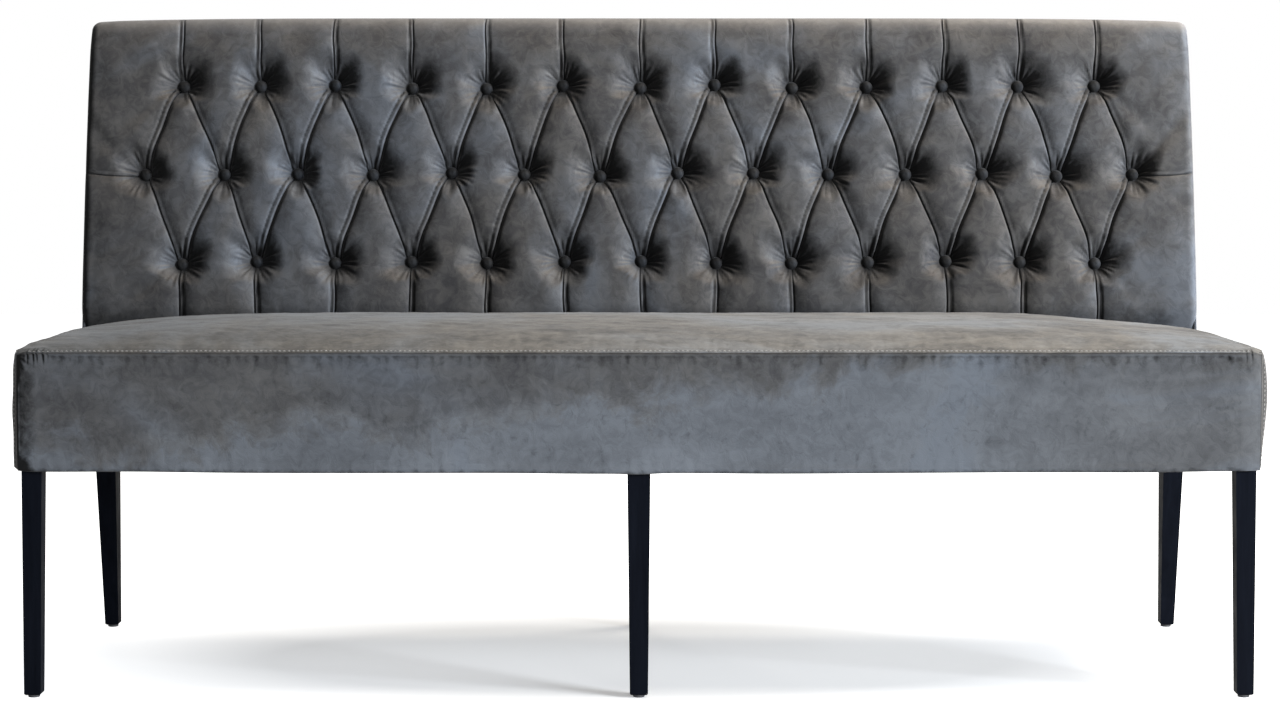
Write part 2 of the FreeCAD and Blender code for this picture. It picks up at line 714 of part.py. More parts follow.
def make_seat_soft():
    """The seat's foam, its pads and the four panels of its cover."""
    clear = leg_clearances()
    foam_wires = [seat_section(x, frame_side_x, frame_front_y, foam_edge_top, foam_bottom, 0)
                  for x in seat_stations(frame_side_x)]
    save("seat_foam", [loft(foam_wires)])
    top_wires = [seat_section(x, panel_side_x, panel_front_y, seat_seam_height, None, cover_thickness)
                 for x in seat_stations(panel_side_x)]
    save("seat_top_panel", [loft(top_wires)])
    panel_top = foam_edge_top
    pad_y = panel_front_y + cover_thickness + layer_gap
    pad_x = panel_side_x - cover_thickness - layer_gap
    front_panel = front_layer(-panel_side_x, panel_side_x, panel_front_y, cover_thickness, seat_underside,
                              panel_top, False)
    hem_inner_y = frame_front_y + hem_width
    half_skin = cover_thickness / 2
    front_hem = box(-corner_inner_x, corner_inner_x, panel_front_y + half_skin, hem_inner_y, seat_underside,
                    seat_underside + cover_thickness)
    save("seat_front_panel", [cut(joined([front_panel, front_hem]), clear)])
    front_pad = front_layer(-frame_side_x, frame_side_x, pad_y, edge_pad, frame_bottom,
                            panel_top - layer_gap, True)
    save("seat_front_pad", [front_pad])
    panel_start = panel_front_y + cover_thickness + layer_gap
    side_panel = side_layer(panel_side_x, cover_thickness, panel_start, seat_underside, panel_top, False)
    side_hem = box(frame_side_x - hem_width, panel_side_x - half_skin, front_leg_back_y,
                   face_y_at(seat_underside) - layer_gap / lean_cos, seat_underside,
                   seat_underside + cover_thickness)
    side_panel = cut(joined([side_panel, side_hem]), clear)
    side_pad = side_layer(pad_x, edge_pad, frame_front_y, frame_bottom, panel_top - layer_gap, True)
    save("seat_side_panel_right", [side_panel])
    save("seat_side_panel_left", [mirrored(side_panel)])
    save("seat_side_pad_right", [side_pad])
    save("seat_side_pad_left", [mirrored(side_pad)])
    make_dust_cover(clear)


def make_dust_cover(clear):
    """Thin black cloth under the seat, stapled all round."""
    top = seat_underside - layer_gap
    low = top - dust_cover_thickness
    x1 = frame_side_x - dust_cover_inset
    y0, y1 = frame_front_y + dust_cover_inset, post_back_y(frame_bottom)
    save("dust_cover", [cut(box(-x1, x1, y0, y1, low, top), clear)])
    staples = []
    count_x, count_y = int(2 * x1 / staple_pitch), int((y1 - y0) / staple_pitch)
    for i in range(count_x):
        x = -x1 + (i + 1 / 2) * 2 * x1 / count_x
        for y in (y0 + staple_crown, y1 - staple_crown):
            staples.append((x, y, staple_crown, staple_wire))
    for i in range(1, count_y - 1):
        y = y0 + (i + 1 / 2) * (y1 - y0) / count_y
        for x in (-x1 + staple_crown, x1 - staple_crown):
            staples.append((x, y, staple_wire, staple_crown))
    solids = [box(x - a / 2, x + a / 2, y - b / 2, y + b / 2, low - staple_wire, low)
              for x, y, a, b in staples]
    save("dust_cover_staples", [solid for solid in solids if not near(solid, clear)])


Section = namedtuple("Section", "v half pleat diamond tuft dip side_pleat set_back")


def tuft_sections():
    """The sections up the tufted face, each at its own v.

    Every section has the same parts: a diamond under each button of a short row, the tufts between them and
    the two edges. half is a diamond's half width and pleat the depth of its two sides. diamond and tuft are
    how deep the ridges of the diamonds and of the tufts between them lie. dip is how far the edge goes down
    to the floor of the long row's end buttons, side_pleat is the depth of the pleat at the side, and set_back
    rounds the top."""
    found = []

    def strip(v, share, depth):
        """The narrow pleat between a short row and the top or the seat."""
        half = pocket + (pleat_half_width - pocket) * min(1, 2 * share)
        found.append(Section(v, half, depth, depth, 0, 0, 0, 0))

    def short_row_edge(v):
        """One side of a short row's pockets."""
        found.append(Section(v, pocket, floor_depth, floor_depth, 0, 0, 0, 0))

    def long_row_edge(v, side_pleat):
        """One side of the long row's pockets, or their middle with the pleat to the side."""
        found.append(Section(v, button_pitch / 2 - pocket, floor_depth, 0, floor_depth, 1, side_pleat, 0))

    def between(low, high, upward):
        """Sections from a short row to the long row, or back again where upward is false."""
        count = len(row_section_shares)
        for i, share in enumerate(row_section_shares):
            wide = share if upward else 1 - share
            near_short, near_long = (i, count - 1 - i) if upward else (count - 1 - i, i)
            half = pocket + (button_pitch / 2 - 2 * pocket) * wide
            depth = pleat_depth + (floor_depth - pleat_depth) * (2 * share - 1) ** 2
            diamond, tuft = ridge_depth_shares[near_short] * depth, ridge_depth_shares[near_long] * depth
            found.append(Section(low + (high - low) * share, half, depth, diamond, tuft,
                                 edge_dip_shares[near_short], 0, 0))

    low, high = bottom_v, row_bottom - pocket
    for share in [1] + strip_section_shares[::-1]:
        strip(high - (high - low) * share, share, strip_depth(share))
    short_row_edge(row_bottom - pocket)
    short_row_edge(row_bottom + pocket)
    between(row_bottom + pocket, row_middle - pocket, True)
    long_row_edge(row_middle - pocket, 0)
    long_row_edge(row_middle, edge_pleat_depth)
    long_row_edge(row_middle + pocket, 0)
    between(row_middle + pocket, row_top - pocket, False)
    short_row_edge(row_top - pocket)
    short_row_edge(row_top + pocket)
    low, high = row_top + pocket, top_v - edge_round
    for share in strip_section_shares:
        strip(low + (high - low) * share, share, strip_depth(share))
    for i in range(round_steps + 1):
        angle = math.radians(90 * i / round_steps)
        set_back = edge_round * (1 - math.cos(angle))
        depth = set_back + edge_pleat_depth * (1 - i / round_steps)
        v = high + edge_round * math.sin(angle)
        found.append(Section(v, pleat_half_width, depth, depth, set_back, 0, 0, set_back))
    return found


def strip_depth(share):
    """The depth of a vertical pleat, from a button's pocket to the edge."""
    return edge_pleat_depth + (floor_depth - edge_pleat_depth) * (1 - share) ** 2


def tuft_section(s):
    """The closed outline of the tufted cover at one v: its tufts in front, a thin border round each side."""

    def point(u, depth):
        return back_point(u, s.v, depth)

    def over(u0, depth0, middle_depth, u1, depth1):
        """An arc from one point to another whose middle lies at its own depth."""
        chord_depth = (depth0 + depth1) / 2
        rise = min(chord_depth - middle_depth, abs(u1 - u0) * sag_limit_share)
        if rise < flat_rise:
            return line(point(u0, depth0), point(u1, depth1))
        return arc(point(u0, depth0), point((u0 + u1) / 2, chord_depth - rise), point(u1, depth1))

    def edge_depth(u):
        """How deep the edge tuft lies at u, falling in from the side as a parabola."""
        share = (shoulder_u - u) / (shoulder_u - inner_u)
        plain = s.set_back + (s.pleat - s.set_back) * share ** 2
        return plain + (floor_depth - plain) * s.dip

    side, inner = back_half_width, back_inner_half_width
    shoulder_u = side - edge_round
    inner_u = short_row[-1] + s.half
    outer_u = long_row[-1] + pocket
    front = s.set_back + s.side_pleat
    corner = s.set_back + edge_round
    slant_share = 1 - math.sqrt(1 / 2)
    slant_u, slant_depth = side - edge_round * slant_share, front + (corner - front) * slant_share
    middle_u = (inner_u + outer_u) / 2
    outer_middle = front + (edge_depth(outer_u) - front) / 4
    if s.side_pleat:
        outer_middle = (edge_depth(outer_u) + front) / 2
    edges = [arc(point(-side, corner), point(-slant_u, slant_depth), point(-shoulder_u, front)),
             over(-shoulder_u, front, outer_middle, -outer_u, edge_depth(outer_u)),
             over(-outer_u, edge_depth(outer_u), edge_depth(middle_u), -inner_u, s.pleat)]
    for i, u in enumerate(short_row):
        edges.append(over(u - s.half, s.pleat, s.diamond, u + s.half, s.pleat))
        if i + 1 < len(short_row):
            edges.append(over(u + s.half, s.pleat, s.tuft, short_row[i + 1] - s.half, s.pleat))
    edges += [over(inner_u, s.pleat, edge_depth(middle_u), outer_u, edge_depth(outer_u)),
              over(outer_u, edge_depth(outer_u), outer_middle, shoulder_u, front),
              arc(point(shoulder_u, front), point(slant_u, slant_depth), point(side, corner))]
    rear = rear_depth(s.v) - cover_thickness - layer_gap
    tail = [(side, corner), (side, rear), (inner, rear), (inner, tuft_height), (-inner, tuft_height),
            (-inner, rear), (-side, rear), (-side, corner)]
    edges += [line(point(u0, d0), point(u1, d1)) for (u0, d0), (u1, d1) in zip(tail, tail[1:])]
    return Part.Wire(edges)


def make_tufted_cover(holes):
    """The buttoned front of the backrest in one piece with its side borders and its top."""
    face = loft([tuft_section(s) for s in tuft_sections()])
    inner = back_inner_half_width
    rear_at_top = rear_depth(top_v) - cover_thickness - layer_gap
    top = back_box(-inner, inner, top_v - border_thickness, top_v, tuft_height, rear_at_top)
    seam = back_point(0, bottom_v, 0)
    rear = back_point(0, bottom_v, rear_depth(bottom_v) - cover_thickness - layer_gap)
    low_rear_y = back_surface_y(seat_underside) - (cover_thickness + layer_gap) / lean_cos
    outline = [(face_y_at(seat_underside), seat_underside), (seam.y, seam.z), (rear.y, rear.z),
               (low_rear_y, seat_underside)]
    border = side_plate(inner, back_half_width, outline)
    cover = joined([face, top, border, mirrored(border)])
    save("back_tufted_cover", [cut(cover, holes)])


def make_back_soft():
    """Foam, board, lining and outside cover of the backrest, from its face to its back."""
    inner = back_inner_half_width - layer_gap
    rear_at_top = rear_depth(post_top_v) - back_skin
    foam = back_box(-inner, inner, bottom_v, top_v - border_thickness - layer_gap, foam_depth,
                    foam_depth + back_foam_thickness)
    save("back_foam", [cut(foam, button_rods(foam_depth - cut_overrun, board_depth, foam_hole))])
    board = back_box(-frame_side_x, frame_side_x, bottom_v, post_top_v, board_depth, post_depth)
    board_holes = button_rods(board_depth - cut_overrun, post_depth + cut_overrun, board_hole)
    save("tufting_board", [cut(board, board_holes + board_screws(bolt_clearance))])
    top_pad_v = post_top_v + layer_gap
    pad = back_box(-inner, inner, top_pad_v, top_pad_v + top_pad, board_depth, rear_at_top)
    save("back_top_pad", [pad])
    make_back_sheets()


def make_back_sheets():
    """The lining on the back of the posts, and the outside cover over it."""
    top_corner = back_point(0, top_v, back_top_thickness)
    lean = math.radians(back_lean)
    out = V(0, math.cos(lean), -math.sin(lean))
    up = V(0, math.sin(lean), math.cos(lean))
    drop = (top_corner.z - seat_underside) / up.z

    def sheet(half, thickness, set_in, below_top, above_bottom):
        """A sheet parallel to the back, set in from its outside."""
        upper = top_corner - up * below_top - out * set_in
        lower = top_corner - up * (drop - above_bottom) - out * set_in
        corners = [upper, lower, lower - out * thickness, upper - out * thickness]
        return side_plate(-half, half, [(p.y, p.z) for p in corners])

    outside = sheet(back_half_width, cover_thickness, 0, 0, 0)
    below = top_corner.z - back_point(0, post_top_v, rear_depth(post_top_v)).z
    lining = sheet(frame_side_x, lining_thickness, cover_thickness + layer_gap, below, hem_width)
    save("outside_back_cover", [outside])
    save("back_lining", [lining])


def button_profile():
    """A covered button's half section, as a face to turn about its axis: flat behind and domed in front."""
    dome = button_height - button_rim
    dome_radius = (button_radius ** 2 + dome ** 2) / (2 * dome)
    half_angle = math.asin(button_radius / dome_radius) / 2
    middle = V(dome_radius * math.sin(half_angle), 0,
               button_height - dome_radius * (1 - math.cos(half_angle)))
    base, flat = V(0, 0, 0), V(button_radius, 0, 0)
    rim, crown = V(button_radius, 0, button_rim), V(0, 0, button_height)
    edges = [line(base, flat), line(flat, rim), arc(rim, middle, crown), line(crown, base)]
    return Part.Face(Part.Wire(edges))


def make_buttons():
    """Buttons at the bottom of the tufts, each on a twine that runs to an anchor behind the board."""
    shape = button_profile().revolve(V(0, 0, 0), V(0, 0, 1), 360)
    turn = FreeCAD.Rotation(V(0, 0, 1), back_normal)
    solids = []
    for u, v in button_places:
        one = shape.copy()
        one.Placement = FreeCAD.Placement(back_point(u, v, floor_depth), turn)
        solids.append(one)
    save("back_buttons", solids)
    anchor_back = post_depth + anchor_thickness
    save("button_twines", button_rods(floor_depth, anchor_back, twine_diameter))
    anchors = button_rods(post_depth, anchor_back, anchor_diameter)
    bores = button_rods(board_depth, anchor_back + cut_overrun, twine_diameter + pin_clearance)
    save("twine_anchors", [anchor.cut(bore) for anchor, bore in zip(anchors, bores)])


def main():
    os.makedirs("parts", exist_ok=True)
    bolt_holes = make_corner_blocks()
    wood_holes = dowels(dowel_clearance, dowel_clearance) + bolt_holes + board_screws(bolt_clearance)
    wood_holes += [glide(place, pin_clearance) for place in foot_middles()]
    pocket_back = post_depth + anchor_thickness + anchor_clearance
    wood_holes += button_rods(post_depth - cut_overrun, pocket_back, anchor_diameter + 2 * anchor_clearance)
    make_legs(wood_holes)
    make_seat_frame(wood_holes)
    make_back_frame(wood_holes)
    save("frame_dowels", dowels(0, 0))
    save("board_screws", board_screws(0))
    make_springs()
    make_seat_soft()
    make_tufted_cover(button_rods(floor_depth - cut_overrun, tuft_height + cut_overrun, cover_hole))
    make_back_soft()
    make_buttons()


main()
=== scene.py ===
"""A long upholstered bench: velvet, padding, stitches and finishes laid over the solids of its frame.

Lengths are in metres in the bench's own frame: X along it, Y from its front to its back, Z up.
The backrest has a leaning frame of its own: u along X, v up its face from the height of the seat's
seam, and depth in from its face.
"""
import json
import math

import bpy
import numpy as np
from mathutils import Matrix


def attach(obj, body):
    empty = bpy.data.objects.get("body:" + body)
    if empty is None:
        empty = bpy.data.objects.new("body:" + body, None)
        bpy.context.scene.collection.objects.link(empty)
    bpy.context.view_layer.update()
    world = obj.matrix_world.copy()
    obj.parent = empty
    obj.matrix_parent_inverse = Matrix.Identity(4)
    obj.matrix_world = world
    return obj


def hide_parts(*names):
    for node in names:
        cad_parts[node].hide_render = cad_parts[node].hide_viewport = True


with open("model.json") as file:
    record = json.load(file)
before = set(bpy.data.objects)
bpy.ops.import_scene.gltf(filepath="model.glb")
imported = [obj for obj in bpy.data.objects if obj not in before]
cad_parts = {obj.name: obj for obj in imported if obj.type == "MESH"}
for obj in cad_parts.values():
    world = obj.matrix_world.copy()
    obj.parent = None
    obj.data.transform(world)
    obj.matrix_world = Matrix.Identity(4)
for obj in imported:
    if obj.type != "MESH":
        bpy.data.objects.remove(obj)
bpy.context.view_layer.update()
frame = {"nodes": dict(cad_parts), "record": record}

bl_info = {
    "name": "Upholstered Banquette Bench",
    "version": (1, 0, 0),
    "blender": (4, 5, 0),
    "location": "View3D > Sidebar > Bench",
    "description": "Dresses a bench frame in buttoned velvet and finishes its wood and metal",
    "category": "Object",
}

FULL_TURN = 2 * math.pi
ORIGIN = (0.0, 0.0, 0.0)
WHITE = (1.0, 1.0, 1.0)
GATHER = 0.0132  # length of the small gathers along the seat's seams
PANEL_HEIGHT = 0.17  # height of the seat's front and sides, for what fades down them
CLOTH_FRAMES = 20  # how long the cloth of the seat is run
CLOTH_CELLS = 300  # cells of that cloth along the seat


# Settings

def length(name, about, default):
    """A length that a user may change."""
    return bpy.props.FloatProperty(name=name, description=about, default=default, unit="LENGTH", precision=4)


def share(name, about, default):
    """A share or a plain amount that a user may change."""
    return bpy.props.FloatProperty(name=name, description=about, default=default, min=0.0)


def colour(name, about, default):
    """A linear colour that a user may change."""
    return bpy.props.FloatVectorProperty(name=name, description=about, default=default, size=3, subtype="COLOR",
                                         min=0.0, max=1.0)


class BackrestSizes(bpy.types.PropertyGroup):
    """Sizes of the buttoned backrest."""
    half_width: length("Half width", "From the middle to the side of the backrest", 0.8882)
    seam_height: length("Seam height", "Height at which v is zero", 0.5)
    face_y: length("Face", "Y of the face at the seam's height", 0.144527)
    lean: bpy.props.FloatProperty(name="Lean", description="How far the face leans back",
                                  default=math.radians(8.0), subtype="ANGLE")
    top: length("Top", "V of the top edge", 0.5066)
    bottom: length("Bottom", "V at which the cover is tucked in", -0.0535)
    thickness: length("Thickness at the top", "From the face to the outside of the back", 0.106)
    taper: share("Taper", "How much thicker the backrest gets for each metre down", 0.02618)
    low_end: length("Low end", "Height of the lower end of the side borders", 0.328)
    row_low: length("Lower row", "V of the lowest row of buttons", 0.111)
    row_high: length("Upper row", "V of the highest row of buttons", 0.3966)
    margin: length("Margin", "From the side to the end button of the middle row", 0.092)
    long_row: bpy.props.IntProperty(name="Buttons in the middle row", description="One more than in the others",
                                    default=14, min=2)
    wander: length("Wander", "How far hand work moves a button from its even place", 0.0019)
    floor_depth: length("Button depth", "Depth of a button's base", 0.030)
    button_radius: length("Button radius", "Radius of a covered button", 0.0099)
    button_height: length("Button height", "Height of a covered button", 0.0075)
    dimple_radius: length("Dimple radius", "How far the hollow round a button reaches", 0.057)
    valley_depth: length("Valley depth", "Depth of a pleat's valley half way along", 0.0075)
    valley_reach: length("Valley reach", "Half the width of a pleat's valley", 0.036)
    fold_depth: length("Fold depth", "Depth of the narrow fold in a pleat", 0.0052)
    edge_roll: length("Edge roll", "Radius over which the face turns into the border", 0.014)
    line_step: length("Line step", "Usual distance between the grid's lines", 0.0024)


class SeatSizes(bpy.types.PropertyGroup):
    """Sizes of the padded seat."""
    seam_x: length("Corner seam", "X of the upright seams at the front corners", 0.8890)
    front: length("Front", "Y of the front panel", -0.317)
    seam_height: length("Seam height", "Height of the seam round the top", 0.4985)
    underside: length("Underside", "Height of the underside", 0.328)
    foam_bottom: length("Foam bottom", "Height of the foam's underside", 0.43)
    crown: length("Crown", "How high the top swells over its seams", 0.0248)
    crown_run: length("Crown run", "How far in from its sides the top is at its full height", 0.42)
    turn: length("Corner turn", "How far the front turns back at its corner seams", 0.0088)
    turn_run: length("Corner turn run", "How far in from its corner seams the front turns back", 0.032)
    swell: length("Swell", "How far the sides stand out", 0.0105)
    bulge: length("Bulge", "How far the front panel stands out", 0.003)
    frame_side: length("Frame side", "X of the frame's side", 0.8829)
    frame_front: length("Frame front", "Y of the frame's front", -0.3079)
    leg_inner: length("Leg inner side", "X of the inner sides of the corner legs", 0.8539)
    leg_middle: length("Middle leg", "Half the width of the middle leg", 0.0165)
    leg_back: length("Leg back", "Y of the back of the front legs", -0.2789)
    hem: length("Hem", "Width of the hem under the frame", 0.022)
    stitch: length("Stitch", "From one top-stitch to the next", 0.0066)
    stitch_inset: length("Stitch inset", "From the seam to the top-stitching", 0.0021)


class Finishes(bpy.types.PropertyGroup):
    """Colours of the velvet, the wood and the metal, and the velvet's sheen."""
    velvet_dark: colour("Velvet, brushed down", "Colour where the pile lies flat", (0.046, 0.047, 0.053))
    velvet_cool: colour("Velvet, cool", "Colour where the pile stands up in cool zones", (0.120, 0.134, 0.158))
    velvet_warm: colour("Velvet, warm", "Colour where the pile stands up in warm zones", (0.132, 0.130, 0.128))
    sheen: share("Sheen", "How much the velvet's fibre tips shine at a glancing angle", 0.6)
    thread: colour("Thread", "Colour of the top-stitching", (0.42, 0.41, 0.39))
    lacquer: colour("Lacquer", "Colour of the legs", (0.0036, 0.0044, 0.0070))
    beech: colour("Beech", "Colour of the bare frame", (0.60, 0.42, 0.26))
    birch: colour("Birch", "Colour of the plywood", (0.66, 0.51, 0.33))
    spring_wire: colour("Spring wire", "Colour of the oiled spring wire", (0.16, 0.16, 0.17))
    zinc: colour("Zinc", "Colour of bolts, screws and staples", (0.58, 0.59, 0.61))
    linen: colour("Linen", "Colour of the waxed twine", (0.60, 0.53, 0.40))
    nylon_grey: colour("Grey nylon", "Colour of the glides", (0.085, 0.085, 0.09))
    nylon_white: colour("White nylon", "Colour of the twine anchors", (0.70, 0.70, 0.67))
    dust_cloth: colour("Dust cloth", "Colour of the cloth under the seat", (0.018, 0.018, 0.019))


class StageSettings(bpy.types.PropertyGroup):
    """Camera, lamps and floor."""
    key_power: share("Key power", "Watts of the large lamp at the right", 560.0)
    front_power: share("Front power", "Watts of the lamp in front", 40.0)
    top_power: share("Top power", "Watts of the lamp overhead", 106.0)
    rear_power: share("Rear power", "Watts of the lamp behind the bench", 60.0)
    sky: share("Sky", "Strength of the even light from all round", 0.12)
    floor_lift: share("Floor lift", "How much the camera sees the floor brightened", 0.3)
    lens: bpy.props.FloatProperty(name="Lens", description="Focal length in millimetres", default=74.88)
    pitch: bpy.props.FloatProperty(name="Pitch", description="How far the camera looks down",
                                   default=math.radians(2.977), subtype="ANGLE")
    place: bpy.props.FloatVectorProperty(name="Camera place", description="Where the camera stands",
                                         default=(0.0069, -4.0959, 0.7753), size=3, unit="LENGTH")
    shift: bpy.props.FloatVectorProperty(name="Shift", description="Camera shift along and up",
                                         default=(-0.0029, -0.05), size=2)


# Shapes worked out as whole arrays

def unit(x):
    """X kept between 0 and 1."""
    return np.clip(x, 0.0, 1.0)


def smooth(x):
    """Zero below 0, one above 1, and 3x^2 - 2x^3 between."""
    x = unit(x)
    return x * x * (3 - 2 * x)


def bell(x):
    """The bell curve exp(-x^2)."""
    return np.exp(-np.square(x))


def roll(inset, radius):
    """How far a quarter circle of the given radius has turned away at an inset from its edge."""
    part = unit(1 - inset / radius)
    return radius * (1 - np.sqrt(1 - part * part))


def graded(low, high, step, fixed=()):
    """Grid lines from low to high, plus fixed ones. Step is their distance, or a function that gives it.

    The lines are even steps along the running total of 1 / step."""
    places = np.linspace(low, high, 4001)
    rate = 1 / np.broadcast_to(step(places) if callable(step) else step, places.shape)
    total = np.concatenate([[0.0], np.cumsum((rate[1:] + rate[:-1]) / 2 * np.diff(places))])
    count = max(int(math.ceil(total[-1])), 1)
    lines = np.interp(np.linspace(0.0, total[-1], count + 1), total, places)
    return np.unique(np.concatenate([lines, np.asarray(fixed, float)]))


def waves(rng, x, y, size, long_x, long_y, count=9):
    """A slow random relief: a sum of sine waves whose lengths lie round long_x and long_y."""
    total = np.zeros(np.broadcast(x, y).shape)
    for _ in range(count):
        turn_x = FULL_TURN / (long_x * rng.uniform(0.6, 1.7)) * rng.choice([-1, 1])
        turn_y = FULL_TURN / (long_y * rng.uniform(0.6, 1.7))
        total += np.sin(turn_x * x + turn_y * y + rng.uniform(0, FULL_TURN)) * rng.uniform(0.5, 1.0)
    return total * (size / math.sqrt(count))


def grid_faces(index):
    """Quads between the points of a grid, given the grid of their numbers."""
    return np.stack([index[:-1, :-1], index[:-1, 1:], index[1:, 1:], index[1:, :-1]], -1).reshape(-1, 4)


def closed_round(index):
    """A grid of numbers with its first column put again after its last one, so that its faces close."""
    return np.concatenate([index, index[..., :1]], -1)


def ring_faces(ring, behind):
    """Quads between a closed loop of points and the loop behind it."""
    return np.stack([ring, behind, np.roll(behind, -1), np.roll(ring, -1)], -1)


def rim(grid):
    """The edge of a grid as one loop: along the first row, up the last column, back and down."""
    return np.concatenate([grid[0, :-1], grid[:-1, -1], grid[-1, :0:-1], grid[:0:-1, 0]])


def closed_grid(points, loops):
    """Points and faces of a body: a grid, loops behind its edge, and a flat cap on the last loop."""
    rows, columns = points.shape[:2]
    index = np.arange(rows * columns).reshape(rows, columns)
    ring, base = rim(index), rows * columns
    quads, clouds = [grid_faces(index)], [points.reshape(-1, 3)]
    for loop in loops:
        behind = base + np.arange(len(ring))
        quads.append(ring_faces(ring, behind))
        clouds.append(loop)
        ring, base = behind, base + len(ring)
    return np.concatenate(clouds), np.concatenate(quads), [ring[::-1]]


def swept(sections):
    """Points and faces of a body from closed sections, stations by points, with a cap at each end."""
    stations, around = sections.shape[:2]
    index = np.arange(stations * around).reshape(stations, around)
    return sections.reshape(-1, 3), grid_faces(closed_round(index)), [index[0], index[-1][::-1]]


def volume(points, quads, caps):
    """Six times the signed volume inside closed faces."""
    triangles = [quads[:, [0, 1, 2]], quads[:, [0, 2, 3]]]
    for cap in caps:
        triangles.append(np.stack([np.full(len(cap) - 2, cap[0]), cap[1:-1], cap[2:]], -1))
    a, b, c = (points[np.concatenate(triangles)[:, i]] for i in range(3))
    return float((a * np.cross(b, c)).sum())


def add_piece(name, body, finish, replaced=(), fold=None):
    """Makes a smooth mesh object of a closed body, turned outwards, that rides with the bench."""
    points, quads, caps = body
    if volume(points, quads, caps) < 0:
        quads, caps = quads[:, ::-1], [cap[::-1] for cap in caps]
    corners = np.concatenate([quads.ravel(), *caps]).astype(np.int32)
    sides = np.concatenate([np.full(len(quads), 4), [len(cap) for cap in caps]])
    mesh = bpy.data.meshes.new(name)
    mesh.vertices.add(len(points))
    mesh.vertices.foreach_set("co", points.astype(np.float32).ravel())
    mesh.loops.add(len(corners))
    mesh.loops.foreach_set("vertex_index", corners)
    mesh.polygons.add(len(sides))
    mesh.polygons.foreach_set("loop_start", np.concatenate([[0], np.cumsum(sides)[:-1]]).astype(np.int32))
    mesh.update(calc_edges=True)
    mesh.polygons.foreach_set("use_smooth", np.arange(len(sides)) < len(quads))
    # Fold is painted shading, kept as the 'fold' attribute: painted shade in creases, hollows and seams, and painted
    # highlights below zero.
    if fold is not None:
        whole = np.zeros(len(points), np.float32)
        whole[:len(fold)] = fold
        mesh.attributes.new("fold", "FLOAT", "POINT").data.foreach_set("value", whole)
    if mesh.validate():
        raise RuntimeError(f"{name} has faces that are not valid")
    mesh.materials.append(finish)
    piece = bpy.data.objects.new(name, mesh)
    bpy.context.scene.collection.objects.link(piece)
    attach(piece, "root")
    if replaced:
        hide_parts(*replaced)
    return piece


def settled(points, held, pressure, slack, limit):
    """Moves of a grid of points when it is run as cloth, held at its marked points and pressed outwards.

    The cloth is larger than the grid by the slack, so that it gathers beside its seams. Moves are drawn in
    to less than the limit by a hyperbolic tangent."""
    scene = bpy.context.scene
    mesh = bpy.data.meshes.new("cloth_copy")
    faces = grid_faces(np.arange(held.size).reshape(held.shape))
    mesh.from_pydata(points.reshape(-1, 3).tolist(), [], faces.tolist())
    copy = bpy.data.objects.new("cloth_copy", mesh)
    scene.collection.objects.link(copy)
    copy.vertex_groups.new(name="held").add(np.nonzero(held.ravel())[0].tolist(), 1.0, "REPLACE")
    cloth = copy.modifiers.new("Cloth", "CLOTH")
    rule = cloth.settings
    rule.quality, rule.mass, rule.air_damping = 6, 0.012, 1.0
    rule.tension_stiffness = rule.compression_stiffness = 15.0
    rule.shear_stiffness, rule.bending_stiffness = 5.0, 0.3
    rule.vertex_group_mass = "held"
    rule.use_pressure, rule.uniform_pressure_force = True, pressure
    rule.shrink_min = -slack
    rule.effector_weights.gravity = 0.0
    cloth.collision_settings.use_collision = False
    cloth.point_cache.frame_start, cloth.point_cache.frame_end = 1, CLOTH_FRAMES
    for moment in range(1, CLOTH_FRAMES + 1):
        scene.frame_set(moment)
    result = np.empty(points.size, np.float32)
    copy.evaluated_get(bpy.context.evaluated_depsgraph_get()).data.vertices.foreach_get("co", result)
    bpy.data.objects.remove(copy)
    bpy.data.meshes.remove(mesh)
    scene.frame_set(1)
    moves = result.reshape(points.shape) - points
    if not np.isfinite(moves).all():
        raise RuntimeError("the cloth did not settle")
    far = np.linalg.norm(moves, axis=-1, keepdims=True)
    return moves * limit * np.tanh(far / limit) / np.maximum(far, 1e-9)


def spline_between(table, row, column):
    """Values between the points of an even grid by cubic B-splines both ways. Row and column count cells."""
    def shares(t):
        return ((1 - t) ** 3 / 6, (3 * t ** 3 - 6 * t ** 2 + 4) / 6,
                (-3 * t ** 3 + 3 * t ** 2 + 3 * t + 1) / 6, t ** 3 / 6)

    first, second = np.floor(row).astype(int), np.floor(column).astype(int)
    total = 0.0
    for i, share_i in enumerate(shares(row - first)):
        for j, share_j in enumerate(shares(column - second)):
            at = np.clip(first + i - 1, 0, table.shape[0] - 1), np.clip(second + j - 1, 0, table.shape[1] - 1)
            total = total + table[at] * (share_i * share_j)[..., None]
    return total


# The backrest

def eased(back, u, v):
    """U and v moved to the soft outline of the backrest.

    The sides stand in a little at the top and out towards the seat: with w the share of the way down, by
    7 mm times 1 - (1 - w)^2, less 1.5 mm, fading inward over 88 mm. The top rises by 3.2 mm times
    1 - (|u| / 0.8)^6, fading downward over 100 mm."""
    w = 1 - unit(v / back.top)
    move = 0.007 * (1 - np.square(1 - w)) - 0.0015
    rise = 0.0032 * (1 - np.power(np.abs(u) / 0.8, 6)) * smooth((v - back.top + 0.1) / 0.1)
    return u + np.sign(u) * move * smooth((np.abs(u) - back.half_width + 0.088) / 0.088), v + rise


def lean_point(back, u, v, depth):
    """The place in the bench's frame of a point across, up and behind the plane that the backrest leans in."""
    sine, cosine = math.sin(back.lean), math.cos(back.lean)
    u, v, depth = np.broadcast_arrays(u, v, depth)
    return np.stack([u, back.face_y + v * sine + depth * cosine,
                     back.seam_height + v * cosine - depth * sine], -1)


def back_point(back, u, v, depth):
    """The place of u, v and depth of the backrest, once its outline is eased."""
    u, v, depth = np.broadcast_arrays(u, v, depth)
    return lean_point(back, *eased(back, u, v), depth)


def face_line(back, z):
    """Y of the backrest's face at height z."""
    return back.face_y + (z - back.seam_height) * math.tan(back.lean)


